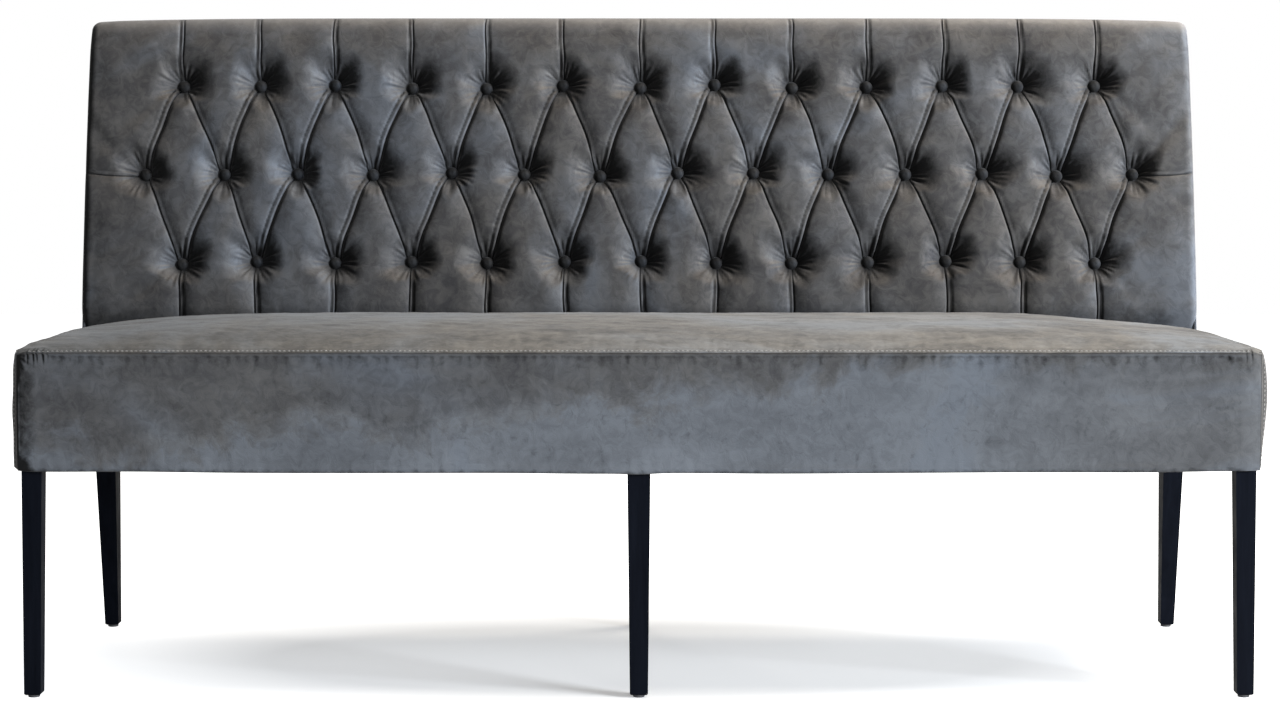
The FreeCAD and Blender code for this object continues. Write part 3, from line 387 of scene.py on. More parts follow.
def button_places(back):
    """Rows of button places (u, v) from the upper row to the lower one, each moved a little by hand work."""
    rng = np.random.default_rng(41)
    pitch = 2 * (back.half_width - back.margin) / (back.long_row - 1)
    rows = []
    for count, v in ((back.long_row - 1, back.row_high), (back.long_row, (back.row_high + back.row_low) / 2),
                     (back.long_row - 1, back.row_low)):
        u = (np.arange(count) - (count - 1) / 2) * pitch
        moves = np.clip(rng.normal(0, back.wander, (count, 2)), -2 * back.wander, 2 * back.wander)
        rows.append(np.stack([u, np.full(count, v)], -1) + moves)
    return rows


def pleats(back, rows):
    """The pleats as (start, end, kind): slanting ones between rows, upright ones to the edges, level ones."""
    upper, middle, lower = rows
    found = []
    for i in range(len(upper)):
        for side in (0, 1):
            found.append((upper[i], middle[i + side], "slanting"))
            found.append((middle[i + side], lower[i], "slanting"))
    found += [(np.array([u, back.top]), np.array([u, v]), "rising") for u, v in upper]
    found += [(np.array([u, v]), np.array([u, back.bottom]), "falling") for u, v in lower]
    found += [(middle[0], np.array([-back.half_width, middle[0][1]]), "level"),
              (middle[-1], np.array([back.half_width, middle[-1][1]]), "level")]
    return found


def pleat_line(start, end, v, bow=1.3):
    """U and slope of a pleat at v. It leaves and meets its buttons off their middles.

    With t the share of the way down, u goes across by 1 - (1 - t)^bow of the run."""
    part = unit((start[1] - v) / (start[1] - end[1]))
    side = np.sign(np.round(end[0] - start[0], 3))
    first, last = start[0] + 0.0042 * side, end[0] - 0.0058 * side
    u = first + (last - first) * (1 - np.power(1 - part, bow))
    slope = (last - first) / (end[1] - start[1]) * bow * np.power(1 - part, bow - 1)
    return part, u, slope


def gathered(back, rows, all_pleats, u, v):
    """Moves grid points towards the buttons and the pleats, so that the narrow folds get more of them.

    Within a reach R of a button, a point at r moves in by r / 2 (1 - r^2 / R^2)^2. Within 22 mm of a
    pleat, a point at distance d moves in by 0.62 d (1 - d^2 / W^2)^2, less so near a button."""
    reach, width = 0.052, 0.022
    u, v = u.copy(), v.copy()
    for place in np.concatenate(rows):
        du, dv = u - place[0], v - place[1]
        pull = 0.5 * np.square(unit(1 - (du * du + dv * dv) / reach ** 2))
        u -= du * pull
        v -= dv * pull
    close = np.full(u.shape, 1.0)
    for place in np.concatenate(rows):
        np.minimum(close, np.hypot(u - place[0], v - place[1]), out=close)
    strength = 0.62 * (1 - 0.75 * bell(close / 0.03))
    shift_u, shift_v = np.zeros((2, *u.shape))

    def drawn(away):
        return away * strength * np.square(unit(1 - (away / width) ** 2))

    for start, end, kind in all_pleats:
        if kind == "level":
            shift_v -= drawn(v - start[1]) * smooth((u - start[0]) * np.sign(end[0]) / 0.01)
            continue
        part, line, _ = pleat_line(start, end, v)
        ends = smooth(np.minimum(part, 1 - part) / 0.05) if kind == "slanting" else 1.0
        shift_u -= np.where((v <= start[1]) & (v >= end[1]), drawn(u - line) * ends, 0)
    inner = smooth((back.half_width - back.edge_roll - np.abs(u)) / 0.02)
    return u + shift_u * inner, v + shift_v


def pleat_relief(back, rng, start, end, kind, u, v):
    """Valley, fold, painted shade along the fold, painted highlight on the tucked lip, and shifts of one pleat at the
    points (u, v).

    The valley is depth (1 - |d| / reach)^2.2. The fold is a bell just below the pleat's line, steep on the
    side of the lip, which is the upper side, and the lip leans over it."""
    lip_sign, reach = 1.0, back.valley_reach
    if kind == "level":
        outward = np.sign(end[0])
        part = (u - start[0]) * outward / abs(end[0] - start[0])
        sag = 0.004 * np.sin(unit(part) * math.pi) - 0.002 * unit(part)
        away, slope = v - start[1] + sag, np.zeros(u.shape)
        inside = (part >= 0) & (part <= 1.02)
        valley_size, fold_size, ends = 1.0 - 0.5 * smooth(part), 1.0 - 0.3 * smooth(part), smooth(part / 0.12)
    else:
        part, line, slope = pleat_line(start, end, v)
        wobble = 0.0012 * np.sin(part * rng.uniform(5, 9) + rng.uniform(0, 6)) * np.sin(part * math.pi)
        away = (u - line - wobble) / np.sqrt(1 + slope * slope)
        inside = (v <= start[1] + 1e-9) & (v >= end[1] - 1e-9)
        if kind == "slanting":
            lip_sign = 1.0 if start[0] < end[0] else -1.0
            valley_size, fold_size = 0.7 + 0.5 * np.square(2 * part - 1), 0.85 + 0.4 * np.square(2 * part - 1)
            ends = smooth(np.minimum(part, 1 - part) / 0.12)
        elif kind == "rising":
            lip_sign = rng.choice([-1.0, 1.0])
            valley_size, fold_size, ends = 0.2 + 0.6 * smooth(part * 1.1), 0.7 + 0.4 * part, smooth((1 - part) / 0.1)
        else:
            lip_sign = rng.choice([-1.0, 1.0])
            valley_size, fold_size, ends = 1.0 - 0.3 * smooth(part), 1.05 - 0.2 * part, smooth(part / 0.1)
    upright = kind in ("rising", "falling")
    loose, open_side = (1.0, 0.0033) if lip_sign < 0 and not upright else (0.3, 0.0012)
    d = away * lip_sign
    valley = back.valley_depth * valley_size * ends * np.power(unit(1 - np.abs(d) / reach), 2.2)
    depth_scale = fold_size * smooth(ends * 1.6)
    groove_at, groove_width, second_width = -0.0006, 0.0011, 0.0010
    lip_rise, second_depth, overhang = 0.0011, 0.0028, 0.0019
    groove = bell((d - groove_at) / np.where(d > groove_at, groove_width, open_side))
    lip = bell((d - 0.0029) / 0.0016)
    second = bell((d - 0.0060) / second_width)
    fold = back.fold_depth * (0.5 + 0.5 * loose) * groove + loose * (second_depth * second - lip_rise * lip)
    # Painted shade in the fold's grooves: it darkens the colour and does not change the shape.
    narrow = bell((d + 0.0003) / 0.0018) * (0.8 + 0.2 * loose) + 0.7 * loose * second
    lean = -overhang * bell((d - 0.0015) / 0.0019) * lip_sign
    if upright:
        second = np.where(part < 0, 0.0, bell((d - 0.0044) / second_width))
        spread = smooth(part * 3) if kind == "falling" else smooth((1 - part) * 4)
        fold = fold + 0.7 * spread * back.fold_depth * second
        narrow = narrow + 0.7 * spread * second
    across = 1 / np.sqrt(1 + slope * slope)
    shift_u = lean * depth_scale * (across if kind != "level" else 0.0)
    shift_v = lean * depth_scale * (1.0 if kind == "level" else -slope * across)
    keep = inside & (np.abs(d) < reach)
    # Besides the shapes, this gives painted shade along the fold and a painted highlight on the lip.
    return [np.where(keep, found, 0.0) for found in
            (valley, fold * depth_scale, narrow * depth_scale, lip * depth_scale * loose, shift_u, shift_v)]


def dimple_relief(back, rng, place, u, v):
    """Hollow, gathers and painted shade round one button at the points (u, v).

    The hollow is depth (1 - (r - r0) / (R - r0))^2, level under the button, and its reach R wavers with
    the direction. The gathers are waves round the button, three lengths at once, strongest between 16 and
    34 mm from its middle, and a few sharp creases run out further. The last part is painted shade in the hollow,
    strongest below the button."""
    du, dv = u - place[0], v - place[1]
    r, turn = np.hypot(du, dv), np.arctan2(dv, du)
    inner = back.button_radius * 0.9
    uneven = rng.uniform(0.92, 1.1) + 0.16 * np.sin(turn)
    for count, size in ((1, 0.07), (2, 0.06), (3, 0.04), (5, 0.05), (9, 0.03)):
        uneven += size * np.cos(count * turn + rng.uniform(0, FULL_TURN))
    part = unit((r - inner) / (back.dimple_radius * uneven - inner))
    hollow = back.floor_depth * np.square(1 - part)
    gathers = np.zeros(u.shape)
    for count, size in ((rng.integers(13, 17), 0.5), (rng.integers(20, 24), 0.6), (rng.integers(27, 32), 0.45)):
        start = count * turn + rng.uniform(0, FULL_TURN)
        gathers += size * np.cos(start + 0.9 * np.sin(r / 0.009 + rng.uniform(0, 6)))
    amount = 0.65 + 0.35 * np.cos(turn - rng.uniform(0, FULL_TURN))
    near = smooth((r - inner - 0.001) / 0.006) * (1 - smooth((r - 0.022) / (0.008 + 0.018 * amount)))
    creases = np.zeros(u.shape)
    for _ in range(9):
        away = np.angle(np.exp(1j * (turn - rng.uniform(0, FULL_TURN)))) * r
        half_way = rng.uniform(0.03, 0.052) / 2
        line = bell((away + 0.0015 * np.sin(r / 0.012)) / rng.uniform(0.0011, 0.0019)) * (np.abs(away) < 0.01)
        line = line * smooth((r - 0.012) / 0.006) * (1 - smooth((r - half_way) / half_way))
        creases += line * rng.uniform(0.4, 1.1)
    # Painted shade in the hollow, strongest below the button.
    pressed = unit(0.25 - 0.75 * dv / np.maximum(r, inner)) * smooth((1 - part) / 0.9)
    return hollow, 0.0014 * gathers * near + 0.0015 * creases, pressed


def side_drags(rows, u, v):
    """Soft pulls that fan out from the end buttons to the sides: bells across slanting lines, faded along."""
    total = np.zeros(u.shape)
    for row, side, slant, size in ((0, -1, -0.55, 1.0), (0, 1, -0.7, 1.2), (1, -1, 0.75, 0.9), (1, 1, 1.1, 1.5),
                                   (1, 1, -0.5, 0.8), (2, -1, -0.6, 1.1), (2, 1, 0.5, 1.0), (2, 1, -0.8, 0.9)):
        place = rows[row][0 if side < 0 else -1]
        ahead = (u - place[0]) * side
        bend = slant * ahead + 1.6 * np.sign(slant) * np.square(np.maximum(ahead, 0))
        away = (v - place[1] - bend) / math.hypot(1, slant)
        along = smooth((ahead - 0.012) / 0.03) * (1 - smooth((ahead - 0.06) / 0.07))
        total += size * 0.0022 * along * bell(away / (0.007 + 0.12 * np.maximum(ahead, 0)))
    return total


def shoulder(back, u, v):
    """How far the face falls back towards its sides and, in two soft steps, towards its top."""
    fall = 0.004 * (1 - smooth((back.half_width - np.abs(u)) / 0.05))
    fall = fall + 0.0085 * np.square(1 - smooth((back.top - v) / 0.085))
    return fall + 0.006 * np.square(unit(1 - (back.top - v) / 0.026))


def tufted_face(back, rows, u, v):
    """Depth, moves and painted shading of the buttoned face at the points (u, v) of its grid.

    Valleys and hollows join as the fourth root of the sum of their fourth powers, and the folds, gathers,
    slow waves, edge roll and tuck at the seat are added. The painted shading is painted shade in the creases,
    in the hollows and below the buttons, and painted highlights on the pleats' lips and along the top."""
    rng = np.random.default_rng(7)
    fourth, extra, painted_shading, shift_u, shift_v, under, pressed = np.zeros((7, *u.shape))
    for place in np.concatenate(rows):
        hollow, gathers, low = dimple_relief(back, rng, place, u, v)
        fourth += hollow ** 4
        extra += gathers
        pressed = np.maximum(pressed, low)
        under = np.maximum(under, hollow / back.floor_depth)
    open_ground = 1 - smooth((under - 0.9) / 0.1)
    for start, end, kind in pleats(back, rows):
        valley, fold, narrow, lip, move_u, move_v = pleat_relief(back, rng, start, end, kind, u, v)
        fourth += valley ** 4
        extra += fold * open_ground
        painted_shading = np.maximum(painted_shading, narrow * open_ground)
        # Painted highlight on the pleats' tucked lips.
        painted_shading = painted_shading - 0.35 * lip * open_ground * (painted_shading < 0.3)
        shift_u += move_u * open_ground
        shift_v += move_v * open_ground
    extra += waves(rng, u, v, 0.0007, 0.09, 0.11)
    radius = back.edge_roll
    over_u = np.maximum(np.abs(u) - (back.half_width - radius), 0)
    over_v = np.maximum(v - (back.top - radius), 0)
    edge = roll(radius - np.minimum(np.hypot(over_u, over_v), radius), radius)
    extra += side_drags(rows, u, v)
    tuck = 0.016 * np.square(1 - smooth(v / 0.055)) + 0.006 * (1 - smooth((v + 0.03) / 0.05))
    calm = smooth((v + 0.03) / 0.03)
    inner = smooth((back.half_width - np.abs(u)) / 0.012) * smooth((back.top - v) / 0.012)
    depth = np.power(fourth, 0.25) * (0.35 + 0.65 * inner) + extra * calm * (0.3 + 0.7 * inner)
    depth = depth + edge + shoulder(back, u, v) + tuck
    # Painted shade in the hollows round the buttons and below them.
    painted_shading = painted_shading + 0.5 * smooth((under - 0.4) / 0.5) + 0.42 * pressed
    # Painted highlight along the top edge: the shading is lowered there, below zero, which lightens the colour.
    brushed = 0.34 * (1 - smooth((back.top - v) / 0.032))
    painted_shading = np.clip(painted_shading - brushed * (1 - unit(3 * painted_shading)), -1, 1)
    return depth, shift_u * inner, shift_v * inner, painted_shading


def back_lines(back):
    """Grid lines of the backrest's face: close in its rolled edges, and a little closer along the rows."""
    radius = back.edge_roll
    turns = np.sin(np.linspace(0, math.pi / 2, 9))[1:]
    side, top = back.half_width - radius, back.top - radius
    across = graded(-side, side, back.line_step)
    across = np.concatenate([-(side + radius * turns[::-1]), across, side + radius * turns])
    rows = (back.row_low, (back.row_low + back.row_high) / 2, back.row_high)

    def step(v):
        near = np.max([bell((v - row) / 0.035) for row in rows], axis=0)
        return np.where(v < 0.012, 0.006, back.line_step * (1.15 - 0.3 * near))

    up = graded(back.bottom, top, step)
    return across, np.concatenate([up, top + radius * turns])


def rounded_corners(back, u, v):
    """Turns the square upper corners of the grid into quarter circles of the edge roll's radius.

    Within the corner's square, (a, b) goes to (a sqrt(1 - b^2 / 2), b sqrt(1 - a^2 / 2))."""
    radius = back.edge_roll
    a = unit((np.abs(u) - back.half_width + radius) / radius)
    b = unit((v - back.top + radius) / radius)
    new_u = np.sign(u) * (back.half_width - radius + radius * a * np.sqrt(1 - b * b / 2))
    new_v = back.top - radius + radius * b * np.sqrt(1 - a * a / 2)
    corner = (a > 0) & (b > 0)
    return np.where(corner, new_u, u), np.where(corner, new_v, v)


def make_tufted_back(back):
    """The padded face of the backrest as one closed body, drawn in at its buttons."""
    rows = button_places(back)
    across, up = back_lines(back)
    u, v = np.meshgrid(across, up)
    inner_u, inner_v = gathered(back, rows, pleats(back, rows), u, v)
    at_side = np.abs(u) >= back.half_width - back.edge_roll
    held = at_side | (v >= back.top - back.edge_roll) | (v <= back.bottom)
    u, v = rounded_corners(back, np.where(at_side, u, inner_u), np.where(held, v, inner_v))
    depth, move_u, move_v, painted_shading = tufted_face(back, rows, u, v)
    u, v = u + move_u, v + move_v
    face = back_point(back, u, v, depth)
    edge_u, edge_v, edge_depth = rim(u), rim(v), rim(depth)
    radius = back.edge_roll
    out_u = np.sign(edge_u) * np.maximum(np.abs(edge_u) - (back.half_width - radius), 0)
    out_v = np.maximum(edge_v - (back.top - radius), 0)
    size = np.maximum(np.hypot(out_u, out_v), 1e-9)
    out_u, out_v = out_u / size, out_v / size
    below = edge_v <= back.bottom + 1e-6
    out_v = np.where(below, -1.0, out_v)
    seam_inset, board_depth = 0.0056, 0.066
    loops = [back_point(back, edge_u - out_u * inset, edge_v - out_v * inset, depth) for inset, depth in
             ((0.0006, edge_depth + 0.0012), (0.0022, edge_depth + 0.0022), (seam_inset, edge_depth + 0.0026),
              (seam_inset, board_depth))]
    return closed_grid(face, loops), painted_shading.ravel()


def rear_depth(back, v):
    """Depth of the outside of the backrest's back at v."""
    return back.thickness + (back.top - v) * back.taper


def border_path(back):
    """The border's way round the backrest from left to right, as arrays over its stations.

    They are u, the share of the corner's roll that is climbed, the share of the side that is climbed, and
    how far outward is along u."""
    radius, side = back.edge_roll, back.half_width
    turns = np.linspace(0, math.pi / 2, 10)
    climb = np.linspace(0, 1, 70)[:-1]
    over = np.linspace(-1, 1, 240)[1:-1]
    u = np.concatenate([np.full(len(climb), -side), -side + radius - radius * np.cos(turns), over * (side - radius),
                        side - radius + radius * np.sin(turns), np.full(len(climb), side)])
    lift = np.concatenate([climb * 0.0, np.sin(turns), np.ones(len(over)), np.cos(turns), climb * 0.0])
    climbed = np.concatenate([climb, np.ones(len(turns) * 2 + len(over)), climb[::-1]])
    out_u = np.concatenate([-np.ones(len(climb)), -np.cos(turns), over * 0.0, np.sin(turns), np.ones(len(climb))])
    return u, lift, climbed, out_u


def make_back_border(back):
    """The border over the sides and the top: a thin padded section carried along the outline of the back.

    At each station the section lies between the seam behind the face and the outside back, and swells by a
    sine of its width. The lower ends are cut level, and as their v and their depth follow from each other,
    both are found in four rounds."""
    rng = np.random.default_rng(23)
    u, lift, climbed, out_u = border_path(back)
    out_v = np.where(climbed < 1, 0.0, lift)
    radius = back.edge_roll
    sine, cosine = math.sin(back.lean), math.cos(back.lean)
    skin, behind_seam, before_rear = 0.005, radius + 0.0014, 0.0030
    turn_size, turn_drop = 0.0016, 0.0017
    turned, flat = np.array([0.0, 0.12, 0.4]), np.linspace(0, 1, 15)
    tucked = -turn_drop * (1 - np.sqrt(turned))
    reaches = np.concatenate([tucked, 0 * flat, tucked[::-1], [-skin, -skin]])
    parts = np.concatenate([0 * turned, flat, 0 * turned + 1, [1.0, 0.0]])
    extras = turn_size * np.concatenate([turned, 1 - 2 * flat, -turned[::-1], [0.0, 0.0]])
    padded = [False] * len(turned) + [True] * len(flat) + [False] * (len(turned) + 2)
    shoulder_v, sections = back.top - radius, []
    for reach, part, extra, soft in zip(reaches, parts, extras, padded):
        depth = np.full(len(u), behind_seam)
        for _ in range(4):
            low_v = (back.low_end - back.seam_height + depth * sine) / cosine
            v = np.where(climbed < 1, low_v + climbed * (shoulder_v - low_v), shoulder_v + radius * lift)
            rear = rear_depth(back, v) - before_rear
            seam = behind_seam + shoulder(back, u, v)
            depth = seam + part * (rear - seam) + extra
        if soft:
            reach = reach + 0.0011 * np.sin(math.pi * part) + waves(rng, v + u, depth, 0.00022, 0.09, 0.06)
        sections.append(back_point(back, u + out_u * reach, v + out_v * reach, depth))
    return swept(np.stack(sections, 1))


def make_outside_back(back):
    """The plain panel on the back: a flat rectangle with rolled edges, pulled a little slack between them."""
    rng = np.random.default_rng(31)
    lean = math.atan(math.tan(back.lean) - back.taper / math.cos(back.lean) ** 2)
    corner = lean_point(back, 0.0, back.top, back.thickness)
    up = np.array([0.0, math.sin(lean), math.cos(lean)])
    out = np.array([0.0, math.cos(lean), -math.sin(lean)])
    drop = (corner[2] - back.low_end) / up[2]
    half, edge, line_step = back.half_width, 0.004, 0.009
    turns = np.sin(np.linspace(0, math.pi / 2, 5))[1:]
    along = graded(-half + edge, half - edge, line_step)
    along = np.concatenate([-(half - edge + edge * turns[::-1]), along, half - edge + edge * turns])
    down = graded(edge, drop - edge, line_step)
    down = np.concatenate([edge - edge * turns[::-1], down, drop - edge + edge * turns])
    s, t = np.meshgrid(along[::-1], down[::-1])
    inset = np.minimum(half - np.abs(s), np.minimum(t, drop - t))
    calm = smooth(inset / 0.05)
    rise = 0.0012 * smooth(inset / 0.1) + calm * waves(rng, s, t, 0.0007, 0.35, 0.16)
    rise += 0.0004 * np.cos(s * FULL_TURN / 0.055) * bell((np.minimum(t, drop - t) - 0.012) / 0.012)
    lift = rise - roll(inset, edge) * 0.45

    def place(s, t, lift):
        wide, high = eased(back, s, back.top - t)
        return corner + np.stack([wide, s * 0, s * 0], -1) + (high - back.top)[..., None] * up + lift[..., None] * out

    face = place(s, t, lift)
    edge_s, edge_t, edge_lift = rim(s), rim(t), rim(lift)
    loops = [place(edge_s * (1 - inset / half), drop / 2 + (edge_t - drop / 2) * (1 - 2 * inset / drop),
                   edge_lift * 0 - sink) for inset, sink in ((0.0008, 0.0022), (0.003, 0.0026))]
    return closed_grid(face, loops)


def make_buttons(back):
    """Covered buttons, each a profile turned round its middle: a rim, gathered a little, and a dome on it.

    The profile goes through shares of the radius and of the height. Each button is tilted a little."""
    rng = np.random.default_rng(53)
    around = np.arange(36) * FULL_TURN / 36
    parts = np.array([1.0, 1.02, 0.99, 0.93, 0.82, 0.66, 0.46, 0.24])
    rises = np.array([0.0, 0.12, 0.27, 0.42, 0.60, 0.77, 0.91, 0.985])
    seat_depth = back.floor_depth - 0.0006
    clouds, quads, caps, base = [], [], [], 0
    for u, v in np.concatenate(button_places(back)):
        tilt = rng.normal(0, 0.07, 2)
        shift = rng.uniform(0, FULL_TURN)
        gather = 1 + 0.012 * np.cos(17 * around + shift) + 0.006 * np.cos(29 * around - shift)
        ring = parts[:, None] * back.button_radius * np.where(parts[:, None] > 0.8, gather, 1.0)
        ring_u, ring_v = ring * np.cos(around), ring * np.sin(around)
        rise = rises[:, None] * back.button_height + tilt[0] * ring_u + tilt[1] * ring_v
        points = back_point(back, u + ring_u, v + ring_v, seat_depth - rise)
        index = base + np.arange(ring.size).reshape(ring.shape)
        quads.append(grid_faces(closed_round(index)))
        caps += [index[0][::-1], index[-1]]
        clouds.append(points.reshape(-1, 3))
        base += ring.size
    return np.concatenate(clouds), np.concatenate(quads), caps


# The seat

def corner_turn(seat, inset):
    """How far the front has turned back at an inset from its corner seam."""
    return seat.turn * np.square(unit(1 - inset / seat.turn_run))


def side_reach(seat, y, drop, side=1):
    """X of the seat's side at y and at a share of its height below the seam.

    It stands out quickly behind the corner, most of all a third of the way down, and half as much at the
    rear. The left side keeps more of its swell lower down than the right one."""
    grown = 1 - np.exp(-np.maximum(y - seat.front - seat.turn, 0) / 0.0075)
    swell = seat.swell * grown * (1 - 0.45 * smooth((y - 0.05) / 0.09))
    low = 0.12 if side > 0 else 0.85
    along = 0.45 * (1 - drop) + low * drop
    arch = 0.94 if side > 0 else 0.35
    return seat.seam_x + swell * (along + arch * np.sin(math.pi * np.power(drop, 0.72)))


def seam_pucker(rng, along, pitch):
    """Small gathers along a seam: one wave every two stitches, whose strength changes slowly."""
    strength = 0.6 + 0.4 * np.sin(along / 0.031 + rng.uniform(0, 6)) * np.sin(along / 0.077 + rng.uniform(0, 6))
    return strength * np.cos(FULL_TURN * along / pitch)


def seat_height(seat, back, x, y):
    """Height of the seat's top: a crown that grows from its side and front seams, soft waves, and seam detail.

    The crown is the full crown times 1 - (1 - a)^n times 1 - (1 - b)^2.2, where a is the share of the
    crown's run in from the side, b the share of the way back to its highest line, and n 2.6 at the left
    and 2 at the right. At the right it dips towards the backrest by a square of the way."""
    rng = np.random.default_rng(11)
    inset_x = np.maximum(side_reach(seat, y, 0.0) - np.abs(x), 0)
    inset_y = np.maximum(y - seat.front - corner_turn(seat, inset_x), 0)
    rear = face_line(back, seat.seam_height + seat.crown)
    a = unit(inset_x / seat.crown_run)
    s = unit(inset_y / (rear - seat.front))
    front_part = 1 - np.power(1 - unit(s / 0.6), 2.2)
    rear_part = 1 - 0.08 * np.square(unit((s - 0.6) / 0.4))
    crown = seat.crown * (1 - np.power(1 - a, np.where(x > 0, 2.0, 2.6))) * np.where(s < 0.6, front_part, rear_part)
    puff = smooth(inset_x / 0.014) * (1 - smooth((inset_x - 0.014) / 0.12)) * smooth(inset_y / 0.07)
    puff = puff * (1 - smooth((y + 0.08) / 0.2)) * np.where(x < 0, 0.0042, 0.0012)
    dip = 0.0085 * smooth((x - 0.62) / 0.15) * np.square(unit((s - 0.55) / 0.45))
    inset = np.minimum(inset_x, inset_y)
    slow = waves(rng, x, y, 0.0011, 0.42, 0.16) + waves(rng, x, y, 0.0004, 0.09, 0.05)
    gathers = seam_pucker(rng, np.where(inset_y < inset_x, x, y), GATHER)
    drags = np.sin(x / 0.0105 + 2.3 * np.sin(x / 0.047)) * bell((inset_y - 0.02) / 0.016) * 0.0003
    detail = 0.0016 * smooth((inset - 0.003) / 0.012) - 0.0009 * bell((inset - seat.stitch_inset) / 0.0014)
    detail += 0.00035 * gathers * bell((inset - 0.006) / 0.006) + drags
    rise = crown + puff - dip + slow * smooth(inset / 0.05) + detail
    rise = rise - 0.0012 * corner_folds(seat, x) * bell(inset_y / 0.009)
    corner = np.hypot(inset_x, inset_y)
    return seat.seam_height + 0.0021 + rise - roll(inset, 0.0021) - 0.003 * bell(corner / 0.012)


def make_seat_top(seat, back):
    """The seat's cushion: the crowned top, rolled into the seam, on a straight-sided block, and its painted shade.

    A coarse grid of the top is run as cloth, and its moves are carried over to the fine one. The painted shade
    lies in the corner folds and along a line just behind the front seam."""
    fine, gap, tuck, at_seam = 0.0011, 0.0003, 0.0098, 0.006

    def step_y(y):
        return np.clip(fine + (y - seat.front - 0.010) * 0.11, fine, 0.0062)

    def step_x(x):
        return np.clip(fine + (1 - np.abs(x) - 0.055) * 0.14, fine, 0.0031)

    rear = face_line(back, seat.seam_height) - gap
    s, y = np.meshgrid(graded(-1.0, 1.0, step_x), graded(seat.front, rear, step_y))
    x = s * side_reach(seat, y, 0.0)
    last = y >= rear - 1e-9
    inset = side_reach(seat, y, 0.0) - np.abs(x)
    y = y + corner_turn(seat, inset) * (1 - smooth((y - seat.front) / 0.05))
    z = seat_height(seat, back, x, y)
    y = np.where(last, face_line(back, z) - gap, y)
    cells_y = 78
    coarse_s, coarse_y = np.meshgrid(np.linspace(-1, 1, CLOTH_CELLS + 1), np.linspace(seat.front, rear, cells_y + 1))
    coarse_x = coarse_s * side_reach(seat, coarse_y, 0.0)
    start = np.stack([coarse_x, coarse_y, seat_height(seat, back, coarse_x, coarse_y)], -1)
    held = (np.abs(coarse_s) > 0.999) | (coarse_y <= seat.front + 1e-6) | (coarse_y >= rear - 1e-6)
    moves = settled(start, held, pressure=3.0, slack=0.006, limit=0.006)
    moves = spline_between(moves, unit((y - seat.front) / (rear - seat.front)) * cells_y, (s + 1) / 2 * CLOTH_CELLS)
    moves = moves * smooth(np.minimum(np.minimum(inset, y - seat.front), rear - y) / at_seam)[..., None]
    face = np.stack([x, y, z], -1) + moves
    x, y, z = np.moveaxis(face, -1, 0)
    edge_x, edge_y, edge_z = rim(x), rim(y), rim(z)
    behind = rim(last)
    half, depth = seat.seam_x, rear - seat.front
    loops = []
    for way_in, height in ((0.0010, edge_z - 0.0009), (0.0034, edge_z - 0.0012), (tuck, edge_z - 0.0012),
                           (tuck, np.full(len(edge_z), seat.foam_bottom))):
        height = np.where(behind, np.minimum(height, edge_z - 0.002), height)
        loop_y = rear + (edge_y - rear) * (1 - way_in / depth)
        loop_y = np.where(behind, face_line(back, height) - gap, loop_y)
        loops.append(np.stack([edge_x * (1 - way_in / half), loop_y, height], -1))
    # Painted shade in the corner folds and along a line just behind the front seam.
    from_seam = y - seat.front - corner_turn(seat, tuck)
    painted_shading = corner_folds(seat, x) * bell(from_seam / 0.009) + 0.5 * bell(from_seam / 0.0016)
    return closed_grid(face, loops), painted_shading.ravel()


def corner_folds(seat, x):
    """Short upright folds beside the front corners, as bells along X."""
    places = ((-1, 0.018, 0.7), (-1, 0.0265, 1.0), (-1, 0.0315, 0.8), (-1, 0.040, 1.0), (-1, 0.047, 0.5),
              (1, 0.0155, 1.0), (1, 0.024, 0.5))
    return sum(size * bell((x * side - seat.seam_x + inset) / 0.0015) for side, inset, size in places)


